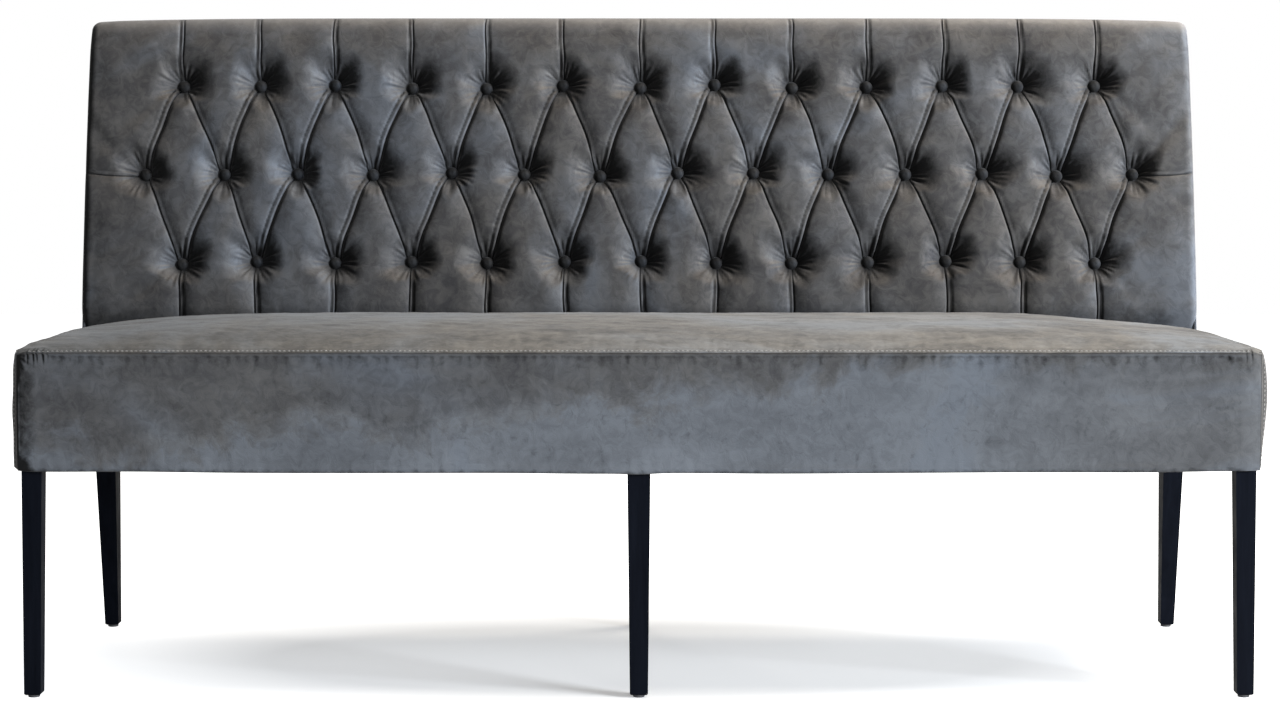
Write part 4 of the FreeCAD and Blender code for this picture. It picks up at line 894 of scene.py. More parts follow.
def make_seat_front(seat):
    """The front panel and its hem, and its painted shade: a closed section carried along X.

    The face stands out by a sine of its height, with soft waves and small gathers under the top seam, and
    by the moves of a coarse grid that is run as cloth. Its lower edge hangs a little lower in the middle,
    the hem gives way at the legs, and the ends are rolled into the seams."""
    end, fine, hem_thick = seat.seam_x - 0.0002, 0.0009, 0.0025

    def step(x):
        return np.clip(fine + (end - np.abs(x) - 0.045) * 0.12, fine, 0.0029)

    clear_out, clear_in = seat.leg_inner - 0.0006, seat.leg_middle + 0.0006
    fixed = [side * (gap + move) for side in (-1, 1) for gap in (clear_out, clear_in) for move in (-0.0008, 0.0008)]
    x = graded(-end, end, step, fixed)
    inset = end - np.abs(x)
    drops = np.concatenate([np.linspace(0.0, 0.1, 13)[1:], np.linspace(0.1, 0.97, 30)[1:]])
    top = seat.seam_height - 0.0004 - 0.0030 * bell(inset / 0.007)
    low = seat.underside - 0.0032 * (1 - np.square(x / end)) - 0.0015 * bell(x / 0.024)
    low = low + 0.0005 * np.sin(x / 0.061 + 1.2 * np.sin(x / 0.13))
    face_top, face_low = top - 0.0018, low + 0.0022
    parts = [(-0.0024 + 0 * x, top), (-0.0011 + 0 * x, top - 0.0004)]
    cells_z = 28
    across, down = np.meshgrid(np.linspace(-end, end, CLOTH_CELLS + 1), np.linspace(0, 1, cells_z + 1))
    start = np.stack([across, seat.front - seat.bulge * np.sin(math.pi * np.power(down, 0.85)),
                      seat.seam_height + (seat.underside - seat.seam_height) * down], -1)
    held = (np.abs(across) > end - 1e-6) | (down < 1e-6) | (down > 1 - 1e-6)
    moves = settled(start, held, pressure=3.0, slack=0.008, limit=0.0045)
    for drop in drops:
        z = face_top + (face_low - face_top) * drop
        below = drop * PANEL_HEIGHT
        near_seam = bell(below / 0.011)
        out = seat.bulge * math.sin(math.pi * drop ** 0.85)
        out = out + 0.0002 * seam_pucker(np.random.default_rng(29), x, GATHER) * near_seam
        slow = waves(np.random.default_rng(37), x, z, 0.0008, 0.30, 0.11)
        out = out + slow * smooth(drop / 0.12) * smooth((1 - drop) / 0.1)
        pull = np.sin(np.arctan2(below, inset + 1e-6) * 15) * bell((np.hypot(below, inset) - 0.022) / 0.013)
        out = out - 0.0015 * corner_folds(seat, x) * near_seam
        move = spline_between(moves, np.full(x.shape, drop * cells_z), (x / end + 1) / 2 * CLOTH_CELLS)
        out = out - move[:, 1] * smooth(np.minimum(inset, PANEL_HEIGHT * min(drop, 1 - drop)) / 0.006)
        parts.append((out + 0.0002 * pull, z))
    parts += [(-0.0003 + 0 * x, low + 0.0011), (-0.0013 + 0 * x, low + 0.0003), (-0.0030 + 0 * x, low)]
    inner = seat.front - seat.frame_front + 0.0003 - 0.0041 * (np.abs(x) > seat.frame_side + 0.0002)
    clear = (np.abs(x) < clear_out) & (np.abs(x) > clear_in)
    reach = np.where(clear, seat.front - (seat.frame_front + seat.hem), inner)
    ends = roll(inset, 0.0025) + corner_turn(seat, inset)
    base, hem_top = 0 * x + seat.underside, 0 * x + seat.underside + hem_thick
    outward = [part[0] - ends for part in parts] + [inner, reach, reach, inner, inner]
    heights = [part[1] for part in parts] + [base, base, hem_top, hem_top + 0.0001, top - 0.0001]
    out, z = np.stack(outward, 1), np.stack(heights, 1)
    # Painted shade in the corner folds and along the top seam, and along the corner seams at the ends.
    near_top = bell((z - top[:, None]) / 0.010)
    painted_shading = 1.2 * corner_folds(seat, x)[:, None] * near_top + 0.45 * bell((z - top[:, None]) / 0.0020)
    painted_shading = np.maximum(painted_shading, 0.8 * bell(inset / 0.0018)[:, None])
    body = swept(np.stack([np.broadcast_to(x[:, None], out.shape), seat.front - out, z], -1))
    return body, painted_shading.ravel()


def make_seat_side(seat, back, side):
    """A side panel and its hem: a closed section carried from the front corner to the backrest's face.

    It stands out as side_reach says, less a roll at its lower edge, with slow waves and small gathers under
    its seam, and stays outside the frame. Below the backrest's cover it runs on under the backrest."""
    start, under_back, clear = seat.front + seat.turn + 0.0003, 0.0172, 0.0004

    def step(part):
        return np.clip(0.002 + part * 0.05, 0.002, 0.007)

    corner_part = (seat.frame_front - start) / (face_line(back, 0.42) - start)
    leg_part = (seat.leg_back - start) / (face_line(back, 0.33) - start)
    fixed = [corner_part + 0.0016, leg_part + 0.002, leg_part + 0.005]
    part = graded(0.0, 1.0, step, fixed)
    drops = np.concatenate([np.linspace(0.0, 0.1, 9)[1:], np.linspace(0.1, 0.93, 22)[1:], [0.955, 0.975]])
    top, low = seat.seam_height - 0.0004, seat.underside + 0.0003
    outward, heights, ys = [], [], []

    def inner(y):
        return np.where(y < seat.frame_front, seat.seam_x + 0.0002, seat.frame_side + 0.0003)

    def hem(y):
        return np.where(y < seat.leg_back + 0.0006, inner(y), seat.frame_side - seat.hem)

    def add(reach, z, outer=False):
        behind = under_back * (1 - smooth((z - back.seam_height - back.bottom + 0.006) / 0.004))
        y = start + part * (face_line(back, z) - clear + behind - start)
        outward.append(np.maximum(reach(y), inner(y) + clear) if outer else reach(y))
        heights.append(z + 0 * y)
        ys.append(y)

    height = top - low
    add(lambda y: side_reach(seat, y, 0.0) - 0.0026, top, True)
    add(lambda y: side_reach(seat, y, 0.0) - 0.0011, top - 0.0004, True)
    for drop in drops:
        z = top - 0.0018 - (height - 0.002) * drop

        def reach(y, drop=drop, z=z):
            slow = waves(np.random.default_rng(61 + side), y, z, 0.0007, 0.16, 0.10)
            small = 0.0004 * seam_pucker(np.random.default_rng(67), y, GATHER) * bell(drop * PANEL_HEIGHT / 0.011)
            bent = side_reach(seat, y, drop, side) - roll(z - low, 0.005 if side > 0 else 0.003)
            return bent + (slow * smooth(drop / 0.12) + small) * smooth((y - start) / 0.02)

        add(reach, z, True)
    add(lambda y: np.maximum(side_reach(seat, y, 1.0, side) - 0.005, inner(y) + 0.0006), low)
    add(inner, low)
    add(hem, low)
    add(hem, low + 0.0025)
    add(inner, low + 0.0026)
    add(inner, top - 0.0001)
    x, z, y = np.stack(outward, 1), np.stack(heights, 1), np.stack(ys, 1)
    return swept(np.stack([side * x, y, z], -1))


def make_topstitch(seat, back):
    """Stitches round the seat's top and down its corner seams, as short rounded bars laid end to end.

    Each bar is half an ellipse along its length, slants a little, and dips into the cloth at both ends."""
    inset, pitch = seat.stitch_inset, seat.stitch
    count = int(2 * (seat.seam_x - 0.016) / pitch)
    front_x = (np.arange(count) - (count - 1) / 2) * pitch
    rear = face_line(back, seat.seam_height) - 0.01
    side_y = np.arange(seat.front + 0.020, rear, pitch)
    edge = side_reach(seat, side_y, 0.0) - inset
    front_y = seat.front + inset + corner_turn(seat, seat.seam_x - np.abs(front_x))
    flat = np.concatenate([np.stack(row, -1) for row in ((front_x, front_y), (edge, side_y), (-edge, side_y))])
    height = seat_height(seat, back, flat[:, 0], flat[:, 1]) + 0.0004
    down = np.arange(seat.underside + 0.009, seat.seam_height - 0.006, pitch)
    behind = seat.front + seat.turn + inset + 0.0016
    drop = (seat.seam_height - down) / (seat.seam_height - seat.underside)
    upright = [np.stack([side * (side_reach(seat, behind, drop, side) + 0.0002), 0 * down + behind, down], -1)
               for side in (-1, 1)]
    middles = np.concatenate([np.column_stack([flat, height])] + upright)
    rng = np.random.default_rng(71)
    slant = rng.normal(0.12, 0.05, len(middles))
    turned = np.concatenate([np.zeros(count), np.full(2 * len(side_y), math.pi / 2)]) + slant[:len(flat)]
    level = np.zeros(len(flat))
    along = np.stack([np.cos(turned), np.sin(turned), level], -1)
    across = np.stack([-np.sin(turned), np.cos(turned), level], -1)
    slant = slant[len(flat):]
    side = np.repeat([-1.0, 1.0], len(down))
    along = np.concatenate([along, np.stack([0 * slant, np.sin(slant), np.cos(slant)], -1)])
    across = np.concatenate([across, np.stack([0 * slant, -side * np.cos(slant), side * np.sin(slant)], -1)])
    out = np.cross(along, across)
    rings, around = np.linspace(-1, 1, 7)[:, None], np.arange(6) * FULL_TURN / 6
    radius, half_length, end_dip = 0.00056, 0.31 * pitch, 0.0005
    thick = radius * np.sqrt(1 - np.square(rings * 0.97))
    local_a = rings * half_length + 0 * around
    local_b = thick * np.cos(around)
    local_c = thick * np.sin(around) - end_dip * np.square(rings)
    points = middles[:, None, None] + sum(local[..., None] * way[:, None, None]
                                          for local, way in ((local_a, along), (local_b, across), (local_c, out)))
    index = np.arange(points[..., 0].size).reshape(points.shape[:3])
    wrapped = closed_round(index)
    quads = np.stack([wrapped[:, :-1, :-1], wrapped[:, :-1, 1:], wrapped[:, 1:, 1:], wrapped[:, 1:, :-1]], -1)
    caps = [*index[:, 0, ::-1], *index[:, -1]]
    return points.reshape(-1, 3), quads.reshape(-1, 4), caps


def make_dust_cover(seat):
    """The cloth under the seat: a level sheet cut out round the legs that hangs a little between its staples."""
    rng = np.random.default_rng(83)
    half, front, rear = seat.frame_side - 0.014, seat.frame_front + 0.014, 0.2401
    rear_leg, rear_inner, rear_middle = 0.1938, seat.frame_side - 0.0343, 0.0173
    room, line_step = 0.0003, 0.011
    front_leg, front_inner, front_middle = seat.leg_back + room, seat.leg_inner - room, seat.leg_middle + room
    x_lines = graded(-half, half, line_step, [side * place for side in (-1, 1)
                                              for place in (front_inner, front_middle, rear_inner, rear_middle)])
    y_lines = graded(front, rear, line_step, [front_leg, rear_leg])
    x, y = np.meshgrid(x_lines, y_lines)
    inset = np.minimum(half - np.abs(x), np.minimum(y - front, rear - y))
    sag = 0.0045 * smooth(inset / 0.16) + smooth(inset / 0.03) * np.abs(waves(rng, x, y, 0.0011, 0.12, 0.09))
    z = seat.underside - 0.0010 - sag
    quads = grid_faces(np.arange(x.size).reshape(x.shape))[:, ::-1]
    middle_x = np.abs((x[:-1, :-1] + x[1:, 1:]) / 2).ravel()
    middle_y = ((y[:-1, :-1] + y[1:, 1:]) / 2).ravel()
    cut = ((middle_x > front_inner) | (middle_x < front_middle)) & (middle_y < front_leg)
    cut |= ((middle_x > rear_inner) | (middle_x < rear_middle)) & (middle_y > rear_leg)
    quads = quads[~cut]
    used, packed = np.unique(quads, return_inverse=True)
    points = np.stack([x, y, z], -1).reshape(-1, 3)[used]
    return points, packed.reshape(-1, 4), (2 * half, rear - front)


# Materials

class Value:
    """An output in a shader tree. Arithmetic on it adds the nodes that work it out."""

    def __init__(self, tree, socket):
        self.tree, self.socket = tree, socket

    def other(self, name):
        """Another output of the same node."""
        return Value(self.tree, self.socket.node.outputs[name])

    def maths(self, operation, amount, clamp=False):
        """One step of arithmetic with a number or a value."""
        return add_node(self.tree, "Math", {0: self, 1: amount}, operation=operation, use_clamp=clamp)

    def __add__(self, amount):
        return self.maths("ADD", amount)

    def __sub__(self, amount):
        return self.maths("SUBTRACT", amount)

    def __mul__(self, amount):
        return self.maths("MULTIPLY", amount)

    def larger(self, amount):
        """The larger of two values."""
        return self.maths("MAXIMUM", amount)

    def vector(self, operation, amount, output="Vector"):
        """One step of arithmetic between vectors or colours."""
        return add_node(self.tree, "VectorMath", {0: self, 1: amount}, output, operation=operation)

    def times(self, amount):
        """A vector or colour multiplied by another, part by part."""
        return self.vector("MULTIPLY", amount)

    def scaled(self, amount):
        """A vector or colour multiplied by one value."""
        return add_node(self.tree, "VectorMath", {0: self, "Scale": amount}, operation="SCALE")

    def part(self, axis):
        """The X, Y or Z of a vector."""
        return add_node(self.tree, "SeparateXYZ", {0: self}, axis)

    def remap(self, low, high, to_low=0.0, to_high=1.0):
        """A value moved from one range to another and kept inside it."""
        return add_node(self.tree, "MapRange", {"Value": self, "From Min": low, "From Max": high,
                                                "To Min": to_low, "To Max": to_high})

    def noise(self, scale, detail=3.0, roughness=0.5, distortion=0.0):
        """A noise texture at this vector."""
        return add_node(self.tree, "TexNoise", {"Vector": self, "Scale": scale, "Detail": detail,
                                                "Roughness": roughness, "Distortion": distortion})

    def bands(self, scale, direction, distortion=0.0):
        """Even waves through this vector, along an axis or slantwise."""
        return add_node(self.tree, "TexWave", {"Vector": self, "Scale": scale, "Distortion": distortion}, "Fac",
                        bands_direction=direction)

    def blend(self, a, b):
        """A colour that goes from a to b as this value goes from 0 to 1."""
        return add_node(self.tree, "Mix", {0: self, 6: a, 7: b}, 2, data_type="RGBA")


def feed(node, inputs):
    """Gives a node's inputs their links, numbers or colours."""
    for key, given in inputs.items():
        socket = node.inputs[key]
        if isinstance(given, Value):
            given.tree.links.new(given.socket, socket)
        elif socket.type == "RGBA":
            socket.default_value = (*given, 1.0)
        else:
            socket.default_value = given


def add_node(tree, kind, inputs=None, output=0, **options):
    """Adds a shader node with its options and inputs, and gives one of its outputs."""
    made = tree.nodes.new("ShaderNode" + kind)
    for name, option in options.items():
        setattr(made, name, option)
    feed(made, inputs or {})
    return Value(tree, made.outputs[output])


def effect_group(name, inputs, outputs, build):
    """The node group of that name, made when it is first asked for.

    Inputs holds each input's default. Build is given the inputs, and returns the outputs by name."""
    found = bpy.data.node_groups.get(name)
    if found:
        return found
    tree = bpy.data.node_groups.new(name, "ShaderNodeTree")
    for label, default in inputs.items():
        kind = "NodeSocketVector" if isinstance(default, tuple) else "NodeSocketFloat"
        tree.interface.new_socket(name=label, in_out="INPUT", socket_type=kind).default_value = default
    for label in outputs:
        tree.interface.new_socket(name=label, in_out="OUTPUT", socket_type="NodeSocketFloat")
    given = tree.nodes.new("NodeGroupInput").outputs
    feed(tree.nodes.new("NodeGroupOutput"), build({label: Value(tree, given[label]) for label in inputs}))
    return tree


def brushed_pile():
    """The look of brushed pile: large zones where it lies one way, patches, smudges, streaks and speckle."""
    def build(given):
        vector = given["Vector"]
        zone = vector.noise(2.3, 7.0, 0.62, 0.9).remap(0.42, 0.58)
        patches = vector.noise(given["Patches"], 4.0, 0.6, 0.8).remap(0.34, 0.66)
        lines = vector.times(given["Long"]).noise(1.0, 4.0, 0.65, 0.3).remap(0.3, 0.7)
        smudges = vector.noise(52.0, 3.0, 0.6, 1.0).remap(0.38, 0.62)
        fibres = vector.noise(1400.0, 1.0, 0.6)
        shade = patches * 0.34 + smudges * given["Smudges"] + zone * 0.42 + lines * given["Streaks"] * 0.4
        shade = (shade + (fibres - 0.5) * 0.45).maths("ADD", 0.0, clamp=True)
        return {"Shade": shade, "Zone": zone, "Height": fibres * 0.6 + smudges * 0.9}

    return effect_group("brushed_pile", {"Vector": ORIGIN, "Patches": 7.0, "Streaks": 0.5, "Long": ORIGIN,
                                         "Smudges": 0.2}, ("Shade", "Zone", "Height"), build)


def wood_grain():
    """Long grain with pores, running along X of the vector it is given."""
    def build(given):
        bands = given["Vector"].times((5.0, 90.0, 90.0)).noise(1.0, 4.0, 0.6, 0.6)
        pores = given["Vector"].times((60.0, 900.0, 900.0)).noise(1.0, 2.0, 0.5)
        return {"Grain": (bands * 0.75 + pores * 0.25).remap(0.3, 0.7), "Height": pores + bands}

    return effect_group("wood_grain", {"Vector": ORIGIN}, ("Grain", "Height"), build)


def drawn_metal():
    """Fine marks of drawing and handling on metal, and of moulding on plastic."""
    def build(given):
        fine = given["Vector"].noise(given["Scale"], 3.0, 0.6)
        broad = given["Vector"].noise(60.0, 2.0, 0.5, 0.5)
        return {"Marks": (fine * 0.5 + broad * 0.5).remap(0.3, 0.7), "Height": fine}

    return effect_group("drawn_metal", {"Vector": ORIGIN, "Scale": 400.0}, ("Marks", "Height"), build)


def new_finish(name):
    """An empty material and its object coordinates."""
    made = bpy.data.materials.new(name)
    made.use_nodes = True
    return made, add_node(made.node_tree, "TexCoord", output="Object")


def finished(made, base, height, strength, distance, inputs):
    """A material with its colour, the bumps of a height, and the shader's other inputs."""
    normal = add_node(made.node_tree, "Bump", {"Height": height, "Strength": strength, "Distance": distance})
    feed(made.node_tree.nodes["Principled BSDF"], {"Base Color": base, "Normal": normal, **inputs})
    return made


def velvet(finishes, name, patches, streaks, long_way, smudges, lift, sheen, painted_side_light=None, tint=WHITE, move=ORIGIN,
           ground=1.0, hem=None, painted_falloff=None):
    """Velvet: a dark ground, lighter where the pile stands up, cool in some zones and warm in others.

    Painted light by facing: cloth that faces away from the key lamp at the right gets painted shade, darker by
    the first of the three facing-light numbers down to the third, and cloth that faces it gets a painted
    highlight, lighter by the second. The edges of both are ragged. Cloth turned right gets a painted cool tint of
    the key lamp, and cloth turned up a painted warm tint of the lamp overhead. With a hem height given, a ragged
    band above it is lighter, and it gets wider to the right. The painted falloff gives two places along X and the
    share of the colour kept at each, a painted fall of light along the bench. Lift scales the three colours, which
    makes painted lighter and darker copies of the one velvet for its pieces, and ground scales the dark one again."""
    made, place = new_finish(name)
    pile = add_node(place.tree, "Group", {"Vector": place.vector("ADD", move), "Patches": patches,
                                          "Streaks": streaks, "Long": long_way, "Smudges": smudges}, "Shade",
                    node_tree=brushed_pile())
    dark, cool, warm = (np.minimum(np.multiply(shade, tint) * lift, 1.0)
                        for shade in (finishes.velvet_dark, finishes.velvet_cool, finishes.velvet_warm))
    dark = dark * ground
    shade, zone = pile, pile.other("Zone")
    if hem is not None:
        x, half_edge = place.part("X"), 0.028
        ragged = (place.noise(8.0, 7.0, 0.68, 0.5) - 0.5) * 0.34
        over = place.part("Z") - (hem + 0.022) + ragged - x.remap(-0.75, 0.5, 0.0, 0.15)
        band = over.remap(half_edge, -half_edge) * x.remap(0.45, 0.8, 1.0, 0.5)
        shade = (shade * 0.66).maths("ADD", band * 0.42, clamp=True)
        zone = zone.larger(band * 0.85)
    base = shade.blend(dark, zone.blend(warm, cool))
    # Painted fall of light along X: the colour is scaled between two places along the bench.
    if painted_falloff:
        base = base.scaled(place.part("X").remap(*painted_falloff))
    # Painted shading from the 'fold' attribute: a painted highlight where it is below zero, and painted shade in
    # creases, hollows and seams where it is above zero.
    fold = add_node(place.tree, "Attribute", output="Fac", attribute_name="fold")
    base = fold.remap(0.0, -0.35, 0.0, 0.7).blend(base, np.minimum((cool + warm) * 0.85, 1.0))
    base = fold.remap(0.0, 1.0, 0.0, 0.93).blend(base, dark * 0.15)
    # Painted light by facing: painted shade on cloth turned away from the key lamp at the right, painted highlights
    # on cloth turned to it, a painted cool tint where it faces right and a painted warm tint where it faces up.
    if painted_side_light:
        darker, lighter, darkest = painted_side_light
        facing = place.other("Normal")
        lean = facing.vector("DOT_PRODUCT", (0.98, 0.0, 0.36), "Value")
        lean = lean + (place.noise(70.0, 5.0, 0.72, 0.6) - 0.5) * 0.5
        painted_light_gain = lean.remap(darkest, -0.03, 1 - darker, 1.0) * lean.remap(0.14, 0.62, 1.0, 1 + lighter)
        painted_cool_light = facing.part("X").remap(0.02, 0.55, 0.0, lighter).blend(WHITE, (0.97, 1.0, 1.04))
        painted_warm_light = facing.part("Z").remap(0.14, 0.5).blend(WHITE, (1.09, 1.0, 0.9))
        base = base.scaled(painted_light_gain).times(painted_cool_light).times(painted_warm_light)
    return finished(made, base, pile.other("Height"), 0.4, 0.0006, {
        "Roughness": pile.remap(0.0, 1.0, 0.9, 0.7), "Specular IOR Level": 0.15,
        "Sheen Weight": finishes.sheen * sheen, "Sheen Roughness": 0.42, "Sheen Tint": (0.97, 0.97, 0.98)})


def twisted_finish(name, shade, dark, scale, distortion, strength, distance, inputs):
    """Spun thread or waxed twine: a soft twist that slants across it."""
    made, place = new_finish(name)
    twist = place.bands(scale, "DIAGONAL", distortion)
    return finished(made, twist.blend(shade * dark, shade), twist, strength, distance, inputs)


def lacquer_finish(shade):
    """Satin lacquer over wood, in which the grain shows a little and the gloss wanders."""
    made, place = new_finish("leg_lacquer")
    upright = add_node(place.tree, "Mapping", {"Vector": place, "Rotation": (0.0, math.pi / 2, 0.0)})
    grain = add_node(place.tree, "Group", {"Vector": upright}, "Grain", node_tree=wood_grain())
    return finished(made, grain.blend(shade, shade * 1.9), grain.other("Height"), 0.12, 0.0003, {
        "Roughness": place.noise(22.0, 3.0, 0.6).remap(0.3, 0.7, 0.36, 0.5), "Specular IOR Level": 0.012})


def wood_finish(name, shade, plies):
    """Planed wood along the bench, or plywood with its plies showing on its edges."""
    made, place = new_finish(name)
    grain = add_node(place.tree, "Group", {"Vector": place}, "Grain", node_tree=wood_grain())
    base = grain.blend(shade * 0.72, shade)
    if plies:
        base = (place.bands(160.0, "Y") * 0.3).blend(base, shade * 0.6)
    return finished(made, base, grain.other("Height"), 0.2, 0.0004, {"Roughness": 0.62})


def hard_finish(name, shade, metallic, rough_low, rough_high, scale):
    """Bare metal or moulded plastic with fine marks."""
    made, place = new_finish(name)
    marks = add_node(place.tree, "Group", {"Vector": place, "Scale": scale}, "Marks", node_tree=drawn_metal())
    return finished(made, marks.blend(shade * 0.8, shade), marks.other("Height"), 0.12, 0.0002, {
        "Roughness": marks.remap(0.0, 1.0, rough_low, rough_high), "Metallic": metallic})


def dust_cloth_finish(shade):
    """Black non-woven cloth: matted fibres and a grid of pressed points."""
    made, place = new_finish("dust_cloth")
    matted = place.noise(320.0, 4.0, 0.7, 1.5)
    points = add_node(place.tree, "TexVoronoi", {"Vector": place, "Scale": 420.0}, "Distance")
    return finished(made, matted.blend(shade, shade * 2.4), points * 0.6 + matted, 0.4, 0.0003, {
        "Roughness": 0.9, "Sheen Weight": 0.2})


def seen(tree):
    """One where the camera sees a surface, itself or through something clear."""
    path = add_node(tree, "LightPath", output="Is Camera Ray")
    return path.larger(path.other("Is Transmission Ray"))


# Operators

def settings(context):
    """The four groups of settings of the scene."""
    scene = context.scene
    return scene.bench_back, scene.bench_seat, scene.bench_finishes, scene.bench_stage


class BENCH_OT_tufted_back(bpy.types.Operator):
    """Make the buttoned face of the backrest"""
    bl_idname = "bench.tufted_back"
    bl_label = "Buttoned backrest"

    def execute(self, context):
        back, _, finishes, _ = settings(context)
        body, painted_shading = make_tufted_back(back)
        # Lift and tint make a painted darker, warmer copy of the velvet for the buttoned face.
        cloth = velvet(finishes, "velvet_back", patches=9.0, streaks=0.45, long_way=(9.0, 30.0, 30.0), smudges=0.36,
                       lift=0.66, sheen=0.42, painted_side_light=(0.94, 0.8, -0.5), tint=(1.03, 1.0, 0.97))
        add_piece("tufted_back", body, cloth, ("back_tufted_cover", "back_foam"), painted_shading)
        return {"FINISHED"}


class BENCH_OT_buttons(bpy.types.Operator):
    """Make the velvet-covered buttons"""
    bl_idname = "bench.buttons"
    bl_label = "Covered buttons"

    def execute(self, context):
        back, _, finishes, _ = settings(context)
        # Lift makes a painted dark copy of the velvet: painted shade on the sunken buttons.
        cloth = velvet(finishes, "velvet_button", patches=30.0, streaks=0.3, long_way=(60.0, 60.0, 60.0),
                       smudges=0.3, lift=0.17, sheen=0.3, painted_side_light=(0.95, 1.6, -0.5))
        add_piece("covered_buttons", make_buttons(back), cloth, ("back_buttons",))
        return {"FINISHED"}


class BENCH_OT_back_border(bpy.types.Operator):
    """Make the border over the sides and the top of the backrest, and the plain panel behind"""
    bl_idname = "bench.back_border"
    bl_label = "Backrest border and outside back"

    def execute(self, context):
        back, _, finishes, _ = settings(context)
        # Lift makes a painted darker copy of the velvet for the border and the outside back.
        cloth = velvet(finishes, "velvet_plain", patches=6.0, streaks=0.5, long_way=(20.0, 20.0, 7.0), smudges=0.18,
                       lift=0.78, sheen=0.6, painted_side_light=(0.4, 0.0, -0.62))
        add_piece("back_border", make_back_border(back), cloth, ("back_top_pad",))
        add_piece("outside_back", make_outside_back(back), cloth,
                  ("outside_back_cover", "back_lining"))
        return {"FINISHED"}


class BENCH_OT_seat(bpy.types.Operator):
    """Make the padded seat: its top, its front and its two sides"""
    bl_idname = "bench.seat"
    bl_label = "Padded seat"

    def execute(self, context):
        back, seat, finishes, _ = settings(context)
        # Lift makes painted lighter and darker copies of the one velvet: lighter for the top, with a painted warm
        # tint of the lamp overhead, lighter for the front, and darker for the sides.
        top_cloth = velvet(finishes, "velvet_seat", patches=11.0, streaks=1.2, long_way=(6.0, 28.0, 28.0),
                           smudges=0.26, lift=1.3, sheen=0.2, tint=(1.07, 1.0, 0.9), ground=0.75,
                           painted_falloff=(-0.8, 0.0, 0.6, 1.0))
        cloth = velvet(finishes, "velvet_panel", patches=5.0, streaks=0.6, long_way=(7.0, 30.0, 26.0), smudges=0.26,
                       lift=1.12, sheen=0.4, painted_side_light=(0.94, 0.0, -0.3), tint=(1.0, 1.0, 0.99), move=(0.35, 0.0, 0.1),
                       ground=0.7, hem=seat.underside, painted_falloff=(0.1, 0.5, 1.0, 0.82))
        side_cloth = velvet(finishes, "velvet_side", patches=6.0, streaks=0.5, long_way=(26.0, 26.0, 6.0),
                            smudges=0.14, lift=0.8, sheen=0.5, painted_side_light=(0.1, 0.0, -0.62), tint=(1.06, 1.0, 0.92))
        body, painted_shading = make_seat_top(seat, back)
        add_piece("seat_cushion", body, top_cloth,
                  ("seat_top_panel", "seat_foam", "spring_felt"), painted_shading)
        body, painted_shading = make_seat_front(seat)
        add_piece("seat_front", body, cloth, ("seat_front_panel", "seat_front_pad"), painted_shading)
        for side, name in ((-1, "left"), (1, "right")):
            add_piece(f"seat_side_{name}", make_seat_side(seat, back, side), side_cloth,
                      (f"seat_side_panel_{name}", f"seat_side_pad_{name}"))
        return {"FINISHED"}


class BENCH_OT_topstitch(bpy.types.Operator):
    """Make the stitches round the seat's top and down its corner seams"""
    bl_idname = "bench.topstitch"
    bl_label = "Top-stitching"

    def execute(self, context):
        back, seat, finishes, _ = settings(context)
        thread = twisted_finish("topstitch_thread", np.array(finishes.thread), 0.6, 420.0, 1.0, 0.5, 0.0003,
                                {"Roughness": 0.6, "Sheen Weight": 0.3})
        add_piece("seat_topstitch", make_topstitch(seat, back), thread)
        return {"FINISHED"}


class BENCH_OT_dust_cover(bpy.types.Operator):
    """Make the thin cloth under the seat"""
    bl_idname = "bench.dust_cover"
    bl_label = "Dust cover"

    def execute(self, context):
        _, seat, finishes, _ = settings(context)
        points, quads, cut = make_dust_cover(seat)
        mesh = bpy.data.meshes.new("dust_cloth_sheet")
        mesh.from_pydata(points.tolist(), [], quads.tolist())
        mesh.polygons.foreach_set("use_smooth", np.ones(len(quads), bool))
        mesh.materials.append(dust_cloth_finish(np.array(finishes.dust_cloth)))
        piece = bpy.data.objects.new("dust_cloth_sheet", mesh)
        context.scene.collection.objects.link(piece)
        thick = piece.modifiers.new("thickness", "SOLIDIFY")
        thick.thickness = 0.0006
        thick.offset = -1.0
        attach(piece, "root")
        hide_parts("dust_cover")
        return {"FINISHED"}


class BENCH_OT_frame_finishes(bpy.types.Operator):
    """Give the legs, the frame, the springs and the fasteners their finishes"""
    bl_idname = "bench.frame_finishes"
    bl_label = "Frame finishes"

    def execute(self, context):
        finishes = settings(context)[2]
        lacquer, beech, birch, wire, zinc, linen, grey, white = (
            np.array(shade) for shade in (finishes.lacquer, finishes.beech, finishes.birch, finishes.spring_wire,
                                          finishes.zinc, finishes.linen, finishes.nylon_grey, finishes.nylon_white))
        made = {
            "leg_lacquer": lacquer_finish(lacquer),
            "bare_beech": wood_finish("bare_beech", beech, plies=False),
            "plywood": wood_finish("birch_plywood", birch, plies=True),
            "spring_steel": hard_finish("spring_steel", wire, 1.0, 0.34, 0.5, 500.0),
            "zinc_steel": hard_finish("zinc_steel", zinc, 1.0, 0.25, 0.42, 700.0),
            "twine": twisted_finish("waxed_twine", linen, 0.65, 300.0, 0.6, 0.6, 0.0004, {"Roughness": 0.55}),
            "glide_plastic": hard_finish("glide_nylon", grey, 0.0, 0.42, 0.55, 900.0),
            "anchor_plastic": hard_finish("anchor_nylon", white, 0.0, 0.38, 0.5, 900.0),
        }
        slots = {part["node"]: part["material_slot"] for part in frame["record"]["subparts"]}
        for name, piece in frame["nodes"].items():
            if piece.hide_render:
                continue
            finish = made.get(slots[name])
            if finish is None:
                raise RuntimeError(f"{name} is shown and has no finish")
            piece.data.materials.clear()
            piece.data.materials.append(finish)
        return {"FINISHED"}


